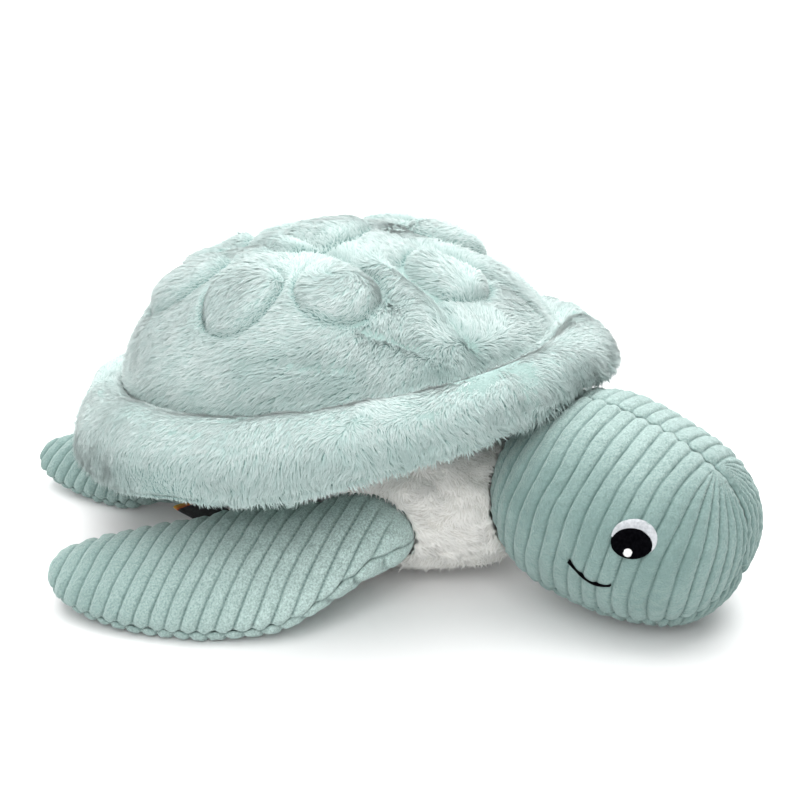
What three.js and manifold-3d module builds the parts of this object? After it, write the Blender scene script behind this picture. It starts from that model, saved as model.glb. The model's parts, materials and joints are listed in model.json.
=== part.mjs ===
// A stuffed sea turtle that lies on its belly: a quilted plush shell with a thick rim, a white plush body,
// a corduroy head that nods in the neck of the body, and four corduroy flippers that swing at their roots.
// Each soft part is a bag of thin cloth panels round a filling. Millimetres, +Z up, the turtle faces -Y.
import * as THREE from "three";
import { mergeVertices } from "three/addons/utils/BufferGeometryUtils.js";
import Module from "manifold-3d";

const wasm = await Module();
wasm.setup();

// Cloth and clearances
const CLOTH = 2.4;
const EASE = 0.3;
const NECK_EASE = 0.6;
const NOD_ROOM = 4.4;
const SWING_ROOM = 2.2;
const OVERRUN = 60;
const WELD = 0.0005;
const REST_CUT = 0.5;

// Body bag: the belly rests on the ground
const BODY_LENGTH = 256;
const BODY_WIDTH = 156;
const BODY_CORE_HEIGHT = 50;
const BODY_CROWN = 62;
const BODY_SQUARE_SHARE = 2.5;

// Shell pillow: the dome and the roll of the rim share one base line
const SHELL_TILT = THREE.MathUtils.degToRad(-9.5);
const SHELL_LEAN = THREE.MathUtils.degToRad(2.5);
const SHELL_HEIGHT = 104;
const SHELL_SET_BACK = 16;
const SHELL_FRONT_LIFT = 5;
const DOME_LENGTH = 260;
const DOME_WIDTH = 244;
const DOME_RISE = 71;
const DOME_SQUARE_SHARE = 2.1;
const DOME_SLACK_SHARE = 0.45;
const CREASE_HEIGHT = 8;
const RIM_WIDTH = 38;
const RIM_DROP = 42;
const RIM_FRONT_TURN = THREE.MathUtils.degToRad(20);
const RIM_FRONT_SHARE = 0.68;
const RIM_REAR_SHARE = 0.84;
const RIM_SEAM_SHARE = 0.66;
// Section of the roll from the crease round the outside to its inner lower edge: how far out of the base
// line as a share of the rim's width, and how far above the crease as a share of its drop
const RIM_SECTION_SHARES = [
  [0.01, 0],
  [0.28, 0.1],
  [0.62, 0.02],
  [0.88, -0.3],
  [0.99, -0.66],
  [0.92, -1.0],
  [0.66, -1.2],
  [0.3, -1.12],
  [0.01, -0.88],
];
const UNDERSIDE_RISE = 18;
const UNDERSIDE_SHARES = [0, 0.5, 1];
const BEYOND_RIM_SHARE = 1.4;

// Quilting: the middle and the half size of each scute, as shares of the dome's half width and half length
const SCUTE_RISE = 5;
const SCUTE_SHARES = [
  { across: 0, back: -0.62, wide: 0.2, long: 0.17 },
  { across: 0, back: 0.02, wide: 0.28, long: 0.21 },
  { across: 0, back: 0.6, wide: 0.21, long: 0.17 },
  { across: 0.48, back: -0.36, wide: 0.2, long: 0.18 },
  { across: 0.65, back: 0.03, wide: 0.19, long: 0.185 },
  { across: 0.43, back: 0.47, wide: 0.19, long: 0.2 },
];

// Puff of the stuffed cover above the plain dome, and the folds where it lies slack: places as shares of
// the dome's half width and half length, one fold along the spine and the others on both sides of it
const PUFF_RISE = 4.5;
const PUFF_EDGE_SHARE = 0.4;
const FOLD_REACH = 9;
const FOLD_DEPTH_SHARE = 0.85;
const SPINE_FOLD_SHARES = [
  [0, 0.57],
  [-0.08, 0.36],
  [-0.1, 0.06],
  [-0.24, -0.18],
  [-0.3, -0.42],
  [-0.39, -0.57],
];
const FOLD_SHARES = [
  [
    [0.13, -0.45],
    [0.18, -0.64],
    [0.28, -0.79],
    [0.3, -0.93],
  ],
  [
    [0.61, -0.55],
    [0.55, -0.69],
    [0.46, -0.86],
  ],
  [
    [0.93, -0.12],
    [0.87, -0.36],
    [0.76, -0.6],
  ],
];

// Head: an egg whose neck end is round about the nod axis
const HEAD_WIDTH = 130;
const HEAD_HEIGHT = 116;
const SNOUT_LENGTH = 92;
const SNOUT_SQUARE_SHARE = 2.7;
const HEAD_DROOP = THREE.MathUtils.degToRad(14);
const NECK_FORWARD = 155.5;
const NECK_HEIGHT = 64.8;

// Embroidery on each cheek: how far forward of the neck and how high above the head's own axis
const THREAD_RELIEF = 1.2;
const EYE_FORWARD = 46;
const EYE_RAISE = 19;
const EYE_LENGTH = 23.2;
const EYE_WHITE_START = THREE.MathUtils.degToRad(-8);
const EYE_WHITE_SWEEP = THREE.MathUtils.degToRad(190);
const PUPIL_LENGTH = 20.4;
const PUPIL_HEIGHT = 15.8;
const GLINT_SIZE = 4.4;
const GLINT_FORWARD = 0.5;
const GLINT_DROP = 4.4;
const MOUTH_WIDTH = 1.8;
const MOUTH_NARROW_SHARE = 0.6;
const MOUTH_FORWARD = 18;
const MOUTH_LENGTH = 25;
const MOUTH_DROP = 6;
const MOUTH_SAG = 4.9;
const MOUTH_FALL = 3.5;
const MOUTH_SKEW = 1.2;
const MOUTH_SINK = 0.9;

// Flippers, given for the turtle's right side (-X); the left ones mirror them. A blade swells and rolls
// over the first share of its length.
const BLADE_SWELL_SHARE = 0.32;
const BLADE_ROLL_SHARE = 0.4;
const FRONT_FLIPPER = {
  root: new THREE.Vector3(-72, -44, 41),
  elbow: new THREE.Vector3(-148, -3, 20.5),
  tip: new THREE.Vector3(-167, 103, 21),
  rootRadius: 31,
  rootRise: 22,
  width: 88,
  thickness: 42,
  roll: THREE.MathUtils.degToRad(27),
  tipSquareShare: 2.5,
  swings: [-7, 13, 34].map(THREE.MathUtils.degToRad),
};
const REAR_FLIPPER = {
  root: new THREE.Vector3(-31, 112, 19.7),
  elbow: new THREE.Vector3(-38, 160, 16.7),
  tip: new THREE.Vector3(-44, 214, 18),
  rootRadius: 20,
  rootRise: 14,
  width: 54,
  thickness: 27,
  roll: THREE.MathUtils.degToRad(32),
  tipSquareShare: 2.6,
  swings: [-4, 6, 16].map(THREE.MathUtils.degToRad),
};

// Label sewn into the right side seam of the body
const LABEL_WIDTH = 26;
const LABEL_REACH = 24;
const LABEL_THICKNESS = 1.6;
const LABEL_BACK = 62;
const LABEL_HEIGHT = 28;
const LABEL_EDGE_WIDTH = 5;

// Facets
const HEAD_GRID = { rows: 14, columns: 16, chinColumn: 6 };
const EYE_WHITE_GRID = { rows: 12, columns: 1 };
const PUPIL_GRID = { rows: 4, columns: 4 };
const GLINT_GRID = { rows: 2, columns: 2 };
const MOUTH_GRID = { rows: 8, columns: 1 };
const BODY_GRID = { rows: 10, columns: 20 };
const DOME_GRID = { rows: 14, columns: 60 };
const SHELL_AROUND = 36;
const DOME_CORE_ROWS = 6;
const RIM_PANEL_STEPS = 4;
const FLIPPER_GRID = { root: 3, blade: 7, columns: 12 };
const ROOM_GRID = { root: 1, blade: 3, columns: 8 };
const NECK_SEAT_FACETS = 24;
const LIMB_SEAT_FACETS = 12;

const MINT_PLUSH = { color: 0xabcdc4, roughness: 0.95, metalness: 0 };
const MINT_CORD = { color: 0x96b9b1, roughness: 0.9, metalness: 0 };
const WHITE_PLUSH = { color: 0xe8e5de, roughness: 0.95, metalness: 0 };
const FILLING = { color: 0xf4f2ec, roughness: 1, metalness: 0 };
const BLACK_THREAD = { color: 0x0a0a0e, roughness: 0.5, metalness: 0 };
const GREY_THREAD = { color: 0xc8cbce, roughness: 0.6, metalness: 0 };
const WHITE_THREAD = { color: 0xf2f2f0, roughness: 0.6, metalness: 0 };
const BLACK_TAPE = { color: 0x101012, roughness: 0.7, metalness: 0 };
const ORANGE_TAPE = { color: 0xe0702a, roughness: 0.7, metalness: 0 };

// Solids from triangles

function solidOf(triangles) {
  const loose = new THREE.BufferGeometry().setFromPoints(triangles.flat());
  const joined = mergeVertices(loose, WELD);
  const at = joined.attributes.position.array;
  const corners = [];
  for (let i = 0; i < joined.index.count; i += 3) {
    const [a, b, c] = joined.index.array.subarray(i, i + 3);
    if (a !== b && b !== c && c !== a) corners.push(a, b, c);
  }
  const build = (triVerts) =>
    new wasm.Manifold(
      new wasm.Mesh({ numProp: 3, vertProperties: at, triVerts: new Uint32Array(triVerts) }),
    );
  const solid = build(corners);
  if (solid.volume() > 0) return solid;
  const turned = [];
  for (let i = 0; i < corners.length; i += 3) turned.push(corners[i], corners[i + 2], corners[i + 1]);
  return build(turned);
}

function solidOfGeometry(geometry) {
  const loose = geometry.index ? geometry.toNonIndexed() : geometry;
  const at = loose.attributes.position;
  const triangles = [];
  for (let i = 0; i < at.count; i += 3) {
    triangles.push([0, 1, 2].map((k) => new THREE.Vector3().fromBufferAttribute(at, i + k)));
  }
  return solidOf(triangles);
}

function geometryOf(solid) {
  const mesh = solid.getMesh();
  const places = new Float32Array(mesh.numVert * 3);
  for (let i = 0; i < mesh.numVert; i += 1) {
    places.set(mesh.vertProperties.subarray(i * mesh.numProp, i * mesh.numProp + 3), i * 3);
  }
  const geometry = new THREE.BufferGeometry();
  geometry.setAttribute("position", new THREE.BufferAttribute(places, 3));
  geometry.setIndex(new THREE.BufferAttribute(mesh.triVerts, 1));
  geometry.computeVertexNormals();
  return geometry;
}

const quad = (a, b, c, d) => [
  [a, b, c],
  [a, c, d],
];

// A closed form: form(u, v, depth) has a pole at u = 0 and at u = 1 and meets itself at v = 0 and v = 1.
function filled(form, rows, columns, depth) {
  const faces = [];
  for (let i = 0; i < rows; i += 1) {
    for (let j = 0; j < columns; j += 1) {
      const point = (di, dj) => form((i + di) / rows, ((j + dj) % columns) / columns, depth);
      faces.push(...quad(point(0, 0), point(1, 0), point(1, 1), point(0, 1)));
    }
  }
  return solidOf(faces);
}

// A thin panel of the form between v = from and v = to, as deep as the cloth. In a ring u meets itself.
function panel(form, rows, columns, from, to, { near = 0, far = CLOTH, ring = false } = {}) {
  const point = (i, j, depth) =>
    form((ring ? i % rows : i) / rows, from + ((to - from) * j) / columns, depth);
  const faces = [];
  for (let i = 0; i < rows; i += 1) {
    for (let j = 0; j < columns; j += 1) {
      const cell = (depth) =>
        [point(i, j, depth), point(i + 1, j, depth), point(i + 1, j + 1, depth), point(i, j + 1, depth)];
      const [a, b, c, d] = cell(near);
      faces.push(...quad(a, b, c, d));
      const [e, f, g, h] = cell(far);
      faces.push(...quad(e, h, g, f));
      if (j === 0) faces.push(...quad(a, e, f, b));
      if (j === columns - 1) faces.push(...quad(d, c, g, h));
      if (!ring && i === 0) faces.push(...quad(a, d, h, e));
      if (!ring && i === rows - 1) faces.push(...quad(c, b, f, g));
    }
  }
  return solidOf(faces);
}

// The same geometry with its faces joined at shared points, so that it stays closed wherever it is placed.
function welded(geometry) {
  const bare = new THREE.BufferGeometry().setAttribute("position", geometry.getAttribute("position"));
  return mergeVertices(bare.setIndex(geometry.getIndex()), WELD);
}

// An ellipsoid that holds the smooth one of the same size, for a seat that a round end turns in.
function seat(across, alongAxis, axis, facets) {
  const fullness = 1 / Math.cos(Math.PI / facets) ** 2;
  const shape = welded(new THREE.SphereGeometry(1, facets, facets / 2));
  shape.scale(across * fullness, alongAxis * fullness, across * fullness);
  if (axis === "x") shape.rotateZ(Math.PI / 2);
  if (axis === "z") shape.rotateX(Math.PI / 2);
  return shape;
}

const placed = (geometry, matrix) => geometry.clone().applyMatrix4(matrix);
const smooth = (share) => THREE.MathUtils.smoothstep(share, 0, 1);
const mirrorX = new THREE.Matrix4().makeScale(-1, 1, 1);

// Frames

const shellFrame = new THREE.Matrix4()
  .makeRotationY(SHELL_LEAN)
  .multiply(new THREE.Matrix4().makeRotationX(SHELL_TILT))
  .setPosition(0, SHELL_SET_BACK, SHELL_HEIGHT);
const headFrame = new THREE.Matrix4().makeRotationX(HEAD_DROOP).setPosition(0, -NECK_FORWARD, NECK_HEIGHT);
const toShell = shellFrame.clone().invert();

// Head

const HEAD_HALF = new THREE.Vector3(HEAD_WIDTH / 2, HEAD_HEIGHT / 2, HEAD_HEIGHT / 2);

function headForm(u, v, depth) {
  const turn = Math.PI * u;
  const around = 2 * Math.PI * v;
  const forward = turn > Math.PI / 2;
  const power = forward ? 2 / SNOUT_SQUARE_SHARE : 1;
  const along = Math.abs(Math.cos(turn)) ** power;
  const radius = Math.sin(turn) ** power;
  const y = forward ? -(SNOUT_LENGTH - depth) * along : (HEAD_HALF.y - depth) * along;
  return new THREE.Vector3(
    (HEAD_HALF.x - depth) * radius * Math.sin(around),
    y,
    (HEAD_HALF.z - depth) * radius * Math.cos(around),
  );
}

// A panel of the head, moved off its neighbours.
const headPanel = (x, z) => (u, v, depth) => headForm(u, v, depth).add(new THREE.Vector3(x, 0, z));

// The point of the right cheek that lies this far forward and this high, raised off the cloth.
function cheekPoint(forward, height, raise) {
  const along = (forward / SNOUT_LENGTH) ** SNOUT_SQUARE_SHARE;
  const radius = (1 - along) ** (1 / SNOUT_SQUARE_SHARE);
  const across = Math.sqrt(Math.max(0, radius ** 2 - (height / HEAD_HALF.z) ** 2)) * HEAD_HALF.x;
  const point = new THREE.Vector3(-across, -forward, height);
  return point.multiplyScalar(1 + raise / point.length());
}

function stitched(outline, { rows, columns }, { layer = 0, sink = 0 } = {}) {
  const low = EASE + layer * (THREAD_RELIEF + EASE) - sink;
  const form = (u, v, raise) => {
    const { forward, height } = outline(u, v);
    return cheekPoint(forward, height, raise);
  };
  return panel(form, rows, columns, 0, 1, { near: low + THREAD_RELIEF, far: low });
}

// A disc of stitches as a square grid pressed to an ellipse, so that it has no pole.
function discOutline(forward, height, length, tall) {
  return (u, v) => {
    const a = 2 * u - 1;
    const b = 2 * v - 1;
    return {
      forward: forward + (length / 2) * a * Math.sqrt(1 - b ** 2 / 2),
      height: height + (tall / 2) * b * Math.sqrt(1 - a ** 2 / 2),
    };
  };
}

// The white of the eye: a crescent over the upper front of the pupil.
function crescentOutline() {
  const widest = EYE_LENGTH - PUPIL_LENGTH + THREAD_RELIEF;
  return (u, v) => {
    const angle = EYE_WHITE_START + EYE_WHITE_SWEEP * u;
    const band = EASE + v * (EASE + widest * Math.sin(Math.PI * u));
    return {
      forward: EYE_FORWARD + (PUPIL_LENGTH / 2 + band) * Math.cos(angle),
      height: EYE_RAISE - THREAD_RELIEF + (PUPIL_HEIGHT / 2 + band) * Math.sin(angle),
    };
  };
}

function mouthOutline(u, v) {
  const sag = MOUTH_SAG * Math.sin(Math.PI * u ** MOUTH_SKEW);
  const width = MOUTH_WIDTH * THREE.MathUtils.lerp(MOUTH_NARROW_SHARE, 1, Math.abs(2 * u - 1));
  return {
    forward: MOUTH_FORWARD + MOUTH_LENGTH * u,
    height: -MOUTH_DROP - MOUTH_FALL * u - sag + (v - 1 / 2) * width,
  };
}

function headPieces() {
  const { rows, columns, chinColumn } = HEAD_GRID;
  const seam = chinColumn / columns;
  const chinColumns = columns - 2 * chinColumn;
  return {
    head_left_panel: [panel(headPanel(EASE / 2, 0), rows, chinColumn, 0, seam), MINT_CORD],
    head_right_panel: [panel(headPanel(-EASE / 2, 0), rows, chinColumn, 1 - seam, 1), MINT_CORD],
    head_chin_panel: [panel(headPanel(0, -EASE), rows, chinColumns, seam, 1 - seam), MINT_CORD],
    head_filling: [filled(headForm, rows, columns, CLOTH + EASE), FILLING],
  };
}

function facePieces() {
  const height = EYE_RAISE - THREAD_RELIEF;
  const pupil = discOutline(EYE_FORWARD, height, PUPIL_LENGTH, PUPIL_HEIGHT);
  const glint = discOutline(EYE_FORWARD + GLINT_FORWARD, height - GLINT_DROP, GLINT_SIZE, GLINT_SIZE);
  return {
    eye_white: [stitched(crescentOutline(), EYE_WHITE_GRID), GREY_THREAD],
    pupil: [stitched(pupil, PUPIL_GRID), BLACK_THREAD],
    eye_glint: [stitched(glint, GLINT_GRID, { layer: 1 }), WHITE_THREAD],
    mouth: [stitched(mouthOutline, MOUTH_GRID, { sink: MOUTH_SINK }), BLACK_THREAD],
  };
}

// Flippers

// Half the width of a blade and half its thickness at a share of the way from the root to the tip.
function bladeHalf(limb, share, depth) {
  const close = (1 - share ** limb.tipSquareShare) ** (1 / limb.tipSquareShare);
  const swell = smooth(share / BLADE_SWELL_SHARE);
  const width = THREE.MathUtils.lerp(limb.rootRadius, limb.width / 2, swell) - depth;
  const rise = THREE.MathUtils.lerp(limb.rootRise, limb.thickness / 2, swell) - depth;
  return { width: width * close, rise: rise * close };
}

// The form of a flipper in the frame of its root: a cap that is round about the upright swing axis, then
// a blade that follows a curve to its tip and rolls its leading edge down.
function flipperForm(limb, { root, blade } = FLIPPER_GRID) {
  const bend = new THREE.QuadraticBezierCurve3(
    new THREE.Vector3(),
    limb.elbow.clone().sub(limb.root),
    limb.tip.clone().sub(limb.root),
  );
  const capShare = root / (root + blade);
  return (u, v, depth, gap = 0) => {
    const share = u < capShare ? 0 : Math.sin(((u - capShare) / (1 - capShare)) * (Math.PI / 2));
    const shortened = share * (1 - depth / bend.getLength());
    const ahead = bend.getTangent(shortened).setZ(0).normalize();
    const side = new THREE.Vector3(-ahead.y, ahead.x, 0);
    const up = new THREE.Vector3(0, 0, 1);
    const roll = -limb.roll * smooth(share / BLADE_ROLL_SHARE);
    const outward = side.clone().multiplyScalar(Math.cos(roll)).addScaledVector(up, Math.sin(roll));
    const raised = up.clone().multiplyScalar(Math.cos(roll)).addScaledVector(side, -Math.sin(roll));
    const { width, rise } = bladeHalf(limb, share, depth);
    const around = 2 * Math.PI * v;
    const cap = u < capShare ? (u / capShare) * (Math.PI / 2) : Math.PI / 2;
    return bend
      .getPoint(shortened)
      .addScaledVector(ahead, -width * Math.cos(cap))
      .addScaledVector(outward, width * Math.sin(cap) * Math.cos(around))
      .addScaledVector(raised, rise * Math.sin(cap) * Math.sin(around) + gap);
  };
}

function flipperPieces(limb) {
  const form = flipperForm(limb);
  const rows = FLIPPER_GRID.root + FLIPPER_GRID.blade;
  const { columns } = FLIPPER_GRID;
  const upper = (u, v, depth) => form(u, v, depth, EASE / 2);
  const lower = (u, v, depth) => form(u, v, depth, -EASE / 2);
  return {
    upper_panel: [panel(upper, rows, columns / 2, 0, 1 / 2), MINT_CORD],
    lower_panel: [panel(lower, rows, columns / 2, 1 / 2, 1), MINT_CORD],
    filling: [filled(form, rows, columns, CLOTH + EASE), FILLING],
  };
}

// All the room that a flipper needs in the body, in the body's frame.
function flipperRoom(limb) {
  const place = new THREE.Matrix4().setPosition(limb.root);
  const form = flipperForm(limb, ROOM_GRID);
  const rows = ROOM_GRID.root + ROOM_GRID.blade;
  const socket = seat(limb.rootRadius + EASE, limb.rootRise + EASE, "z", LIMB_SEAT_FACETS);
  let room = solidOfGeometry(placed(socket, place));
  const blade = geometryOf(filled(form, rows, ROOM_GRID.columns, -SWING_ROOM));
  for (const swing of limb.swings) {
    const turned = placed(blade, new THREE.Matrix4().makeRotationZ(swing)).applyMatrix4(place);
    room = room.add(solidOfGeometry(turned));
  }
  return room;
}

// Shell

const domeHalf = { x: DOME_WIDTH / 2, y: DOME_LENGTH / 2 };

// The base line of the shell bends up in front, where it lies on the neck.
const baseHeight = (y) => SHELL_FRONT_LIFT * Math.max(0, -y / domeHalf.y) ** 2;

// A point of the shell pillow: this far outside the base line, or a share of the way in from it.
function shellPoint(v, outside, z, share = 1) {
  const around = 2 * Math.PI * v;
  const out = new THREE.Vector2(Math.sin(around) / domeHalf.x, -Math.cos(around) / domeHalf.y).normalize();
  const x = domeHalf.x * Math.sin(around) * share + out.x * outside;
  const y = -domeHalf.y * Math.cos(around) * share + out.y * outside;
  return new THREE.Vector3(x, y, z + baseHeight(y));
}

// How far a scute stands out at a place of the dome's plan, given as shares of its half sizes.
function scuteRise(x, y) {
  const reach = ({ across, back, wide, long }) =>
    Math.hypot((Math.abs(x) - across) / wide, (y - back) / long);
  const nearest = Math.min(1, ...SCUTE_SHARES.map(reach));
  return SCUTE_RISE * (1 - nearest ** 4);
}

// How far a place of the dome's plan lies from a fold, both given in shares.
function foldGap(x, y, shares) {
  const placeOf = ([across, back]) => new THREE.Vector3(across * domeHalf.x, back * domeHalf.y, 0);
  const place = placeOf([x, y]);
  const stretch = (end, i) => new THREE.Line3(placeOf(shares[i]), placeOf(end));
  const gap = (line) => line.closestPointToPoint(place, true, new THREE.Vector3()).distanceTo(place);
  return Math.min(...shares.slice(1).map(stretch).map(gap));
}

// How far the quilted cover stands out at a share of the way from the crown to the base line.
function quiltRise(share, v) {
  const x = share * Math.sin(2 * Math.PI * v);
  const y = -share * Math.cos(2 * Math.PI * v);
  const sideGaps = FOLD_SHARES.map((shares) => foldGap(Math.abs(x), y, shares));
  const gap = Math.min(foldGap(x, y, SPINE_FOLD_SHARES), ...sideGaps);
  const fold = FOLD_DEPTH_SHARE * Math.exp(-((gap / FOLD_REACH) ** 2));
  const puff = PUFF_RISE * THREE.MathUtils.smoothstep(1 - share, 0, PUFF_EDGE_SHARE);
  return (puff + scuteRise(x, y)) * (1 - fold);
}

function domeForm(u, v, depth) {
  const turn = (Math.PI / 2) * u;
  const power = 2 / DOME_SQUARE_SHARE;
  const share = Math.sin(turn) ** power;
  const slack = 1 - DOME_SLACK_SHARE * Math.max(0, share * Math.cos(2 * Math.PI * v)) ** 2;
  const rise = (DOME_RISE - depth) * slack * Math.cos(turn) ** power;
  const relief = depth > 0 ? 0 : quiltRise(share, v);
  const reach = share * (1 - depth / domeHalf.x);
  const point = shellPoint(v, 0, CREASE_HEIGHT + rise, reach);
  const lean = new THREE.Vector3(point.x / domeHalf.x, point.y / domeHalf.y, rise / DOME_RISE).normalize();
  return point.addScaledVector(lean, relief);
}

// Underside of the shell pillow, from the middle (share 0) to the base line (share 1).
const undersideHeight = (share) => -UNDERSIDE_RISE * share ** 2 - CREASE_HEIGHT;

// Stations of a closed turned form: each is a share of the base line, an inset from it and a height.
function turned(stations, columns) {
  const form = (u, v) => {
    const station = stations[Math.round(u * (stations.length - 1))];
    return shellPoint(v, -station.inset, station.z, station.share);
  };
  return filled(form, stations.length - 1, columns, 0);
}

function domeFilling() {
  const rows = DOME_CORE_ROWS;
  const depth = CLOTH + EASE;
  const form = (u, v) => {
    const step = Math.round(u * (rows + 3));
    if (step <= rows) return domeForm(step / rows, v, depth);
    const reach = [...UNDERSIDE_SHARES].reverse()[step - rows - 1] * (1 - depth / domeHalf.x);
    return shellPoint(v, 0, undersideHeight(reach) + CLOTH + EASE, reach);
  };
  return filled(form, rows + UNDERSIDE_SHARES.length, SHELL_AROUND, 0);
}

function domeCover() {
  const outer = filledDome(DOME_GRID.rows, DOME_GRID.columns, 0);
  const inner = filledDome(DOME_CORE_ROWS, SHELL_AROUND, CLOTH);
  return outer.subtract(inner);
}

// The dome as a closed form with a skirt; the inner one reaches through the base, so that it opens it.
function filledDome(rows, columns, depth) {
  const skirt = depth > 0 ? CREASE_HEIGHT - OVERRUN : CREASE_HEIGHT;
  const form = (u, v) => {
    const step = Math.round(u * (rows + 2));
    if (step <= rows) return domeForm(step / rows, v, depth);
    const reach = 1 - depth / domeHalf.x;
    return shellPoint(v, 0, skirt, step === rows + 1 ? reach : 0);
  };
  return filled(form, rows + 2, columns, 0);
}

const rimSection = new THREE.SplineCurve(
  RIM_SECTION_SHARES.map(([out, drop]) => new THREE.Vector2(out * RIM_WIDTH, drop * RIM_DROP)),
);
const RIM_SEAM_GAP_SHARE = EASE / rimSection.getLength();

// The rim is slimmer in front, where it also turns up to clear the neck, and a little slimmer behind.
function rimPoint(u, section) {
  const ahead = Math.cos(2 * Math.PI * u);
  const front = ((1 + ahead) / 2) ** 2;
  const rear = ((1 - ahead) / 2) ** 2;
  const turned = section
    .clone()
    .rotateAround(new THREE.Vector2(), RIM_FRONT_TURN * front)
    .multiplyScalar(THREE.MathUtils.lerp(1, RIM_FRONT_SHARE, front))
    .multiplyScalar(THREE.MathUtils.lerp(1, RIM_REAR_SHARE, rear));
  return shellPoint(u, EASE + Math.max(0, turned.x), CREASE_HEIGHT - EASE + turned.y);
}

function rimForm(u, v, depth) {
  const along = rimSection.getTangent(v);
  const inward = new THREE.Vector2(along.y, -along.x);
  const section = rimSection.getPoint(v).addScaledVector(inward, depth);
  return rimPoint(u, section);
}

function rimFilling() {
  const steps = 2 * RIM_PANEL_STEPS;
  const alongSection = (j) =>
    j <= RIM_PANEL_STEPS
      ? (RIM_SEAM_SHARE * j) / RIM_PANEL_STEPS
      : 1 - ((1 - RIM_SEAM_SHARE) * (steps - j)) / RIM_PANEL_STEPS;
  const point = (i, j) =>
    rimForm((i % SHELL_AROUND) / SHELL_AROUND, alongSection(j % (steps + 1)), CLOTH + EASE);
  const faces = [];
  for (let i = 0; i < SHELL_AROUND; i += 1) {
    for (let j = 0; j <= steps; j += 1) {
      faces.push(...quad(point(i, j), point(i + 1, j), point(i + 1, j + 1), point(i, j + 1)));
    }
  }
  return solidOf(faces);
}

function rimPanel(from, to) {
  return panel(rimForm, SHELL_AROUND, RIM_PANEL_STEPS, from, to, { ring: true });
}

function shellUnderside() {
  const low = UNDERSIDE_SHARES.map((share) => ({ share, inset: EASE * share, z: undersideHeight(share) }));
  const high = [...low].reverse().map((station) => ({ ...station, z: station.z + CLOTH }));
  return turned([...low, ...high], SHELL_AROUND);
}

// Everything above the lower face of the shell pillow, in the body's frame.
function roomAboveUnderside() {
  const shares = [...UNDERSIDE_SHARES, BEYOND_RIM_SHARE];
  const low = shares.map((share) => ({ share, inset: 0, z: undersideHeight(share) - EASE }));
  const top = { ...low.at(-1), z: DOME_RISE };
  const room = turned([...low, top, { ...top, share: 0 }], SHELL_AROUND);
  return placed(geometryOf(room), shellFrame);
}

function shellPieces(neckRoom) {
  const open = (solid) => solid.subtract(neckRoom);
  return {
    shell_dome_cover: [domeCover(), MINT_PLUSH],
    shell_dome_filling: [open(domeFilling()), FILLING],
    shell_rim_upper_panel: [open(rimPanel(0, RIM_SEAM_SHARE - RIM_SEAM_GAP_SHARE)), MINT_PLUSH],
    shell_rim_lower_panel: [open(rimPanel(RIM_SEAM_SHARE + RIM_SEAM_GAP_SHARE, 1)), MINT_PLUSH],
    shell_rim_filling: [open(rimFilling()), FILLING],
    shell_underside: [open(shellUnderside()), MINT_PLUSH],
  };
}

// Body

function bodyForm(u, v, depth) {
  const turn = Math.PI * u;
  const around = 2 * Math.PI * v;
  const low = turn > Math.PI / 2;
  const power = low ? 2 / BODY_SQUARE_SHARE : 1;
  const radius = Math.sin(turn) ** power;
  const rise = low ? -(BODY_CORE_HEIGHT + REST_CUT - depth) : BODY_CROWN - depth;
  return new THREE.Vector3(
    (BODY_WIDTH / 2 - depth) * radius * Math.sin(around),
    -(BODY_LENGTH / 2 - depth) * radius * Math.cos(around),
    BODY_CORE_HEIGHT + rise * Math.abs(Math.cos(turn)) ** power,
  );
}

// A block that fills the ground up to a height.
function ground(height) {
  const slab = new THREE.BoxGeometry(2 * BODY_WIDTH, 2 * BODY_LENGTH, OVERRUN);
  return solidOfGeometry(slab.translate(0, 0, height - OVERRUN / 2));
}

function bodyPieces(neckSeat) {
  const { rows, columns } = BODY_GRID;
  let room = solidOfGeometry(roomAboveUnderside()).add(neckSeat);
  for (const limb of [FRONT_FLIPPER, REAR_FLIPPER]) {
    const right = flipperRoom(limb);
    const left = solidOfGeometry(placed(geometryOf(right), mirrorX));
    room = room.add(right).add(left);
  }
  const outer = filled(bodyForm, rows, columns, 0).subtract(ground(0));
  const inner = filled(bodyForm, rows, columns, CLOTH).subtract(ground(CLOTH));
  const filling = filled(bodyForm, rows, columns, CLOTH + EASE).subtract(ground(CLOTH + EASE));
  return {
    body_cover: [outer.subtract(inner).subtract(room), WHITE_PLUSH],
    body_filling: [filling.subtract(room), FILLING],
  };
}

// Label

// The label's frame: x points out of the right side of the body, square to it.
function labelFrame() {
  const low = (BODY_CORE_HEIGHT - LABEL_HEIGHT) / (BODY_CORE_HEIGHT + REST_CUT);
  const level = (1 - low ** BODY_SQUARE_SHARE) ** (1 / BODY_SQUARE_SHARE);
  const back = LABEL_BACK / (BODY_LENGTH / 2);
  const out = Math.sqrt(level ** 2 - back ** 2);
  const normal = new THREE.Vector2(-out / BODY_WIDTH, back / BODY_LENGTH);
  return new THREE.Matrix4()
    .makeRotationZ(normal.angle())
    .setPosition((-out * BODY_WIDTH) / 2, LABEL_BACK, LABEL_HEIGHT);
}

function labelPieces() {
  const tape = (width, shift) => {
    const strip = new THREE.BoxGeometry(LABEL_REACH, width - EASE, LABEL_THICKNESS);
    strip.translate(LABEL_REACH / 2 + EASE, shift, 0);
    return solidOfGeometry(strip);
  };
  return {
    label: [tape(LABEL_WIDTH - LABEL_EDGE_WIDTH, LABEL_EDGE_WIDTH / 2), BLACK_TAPE],
    label_edge_tape: [tape(LABEL_EDGE_WIDTH, (LABEL_EDGE_WIDTH - LABEL_WIDTH) / 2), ORANGE_TAPE],
  };
}

// Assembly

function addPieces(group, pieces, rename = (name) => name) {
  for (const [name, [solid, finish]] of Object.entries(pieces)) {
    const mesh = new THREE.Mesh(geometryOf(solid), new THREE.MeshStandardMaterial(finish));
    mesh.name = rename(name);
    group.add(mesh);
  }
}

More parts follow.
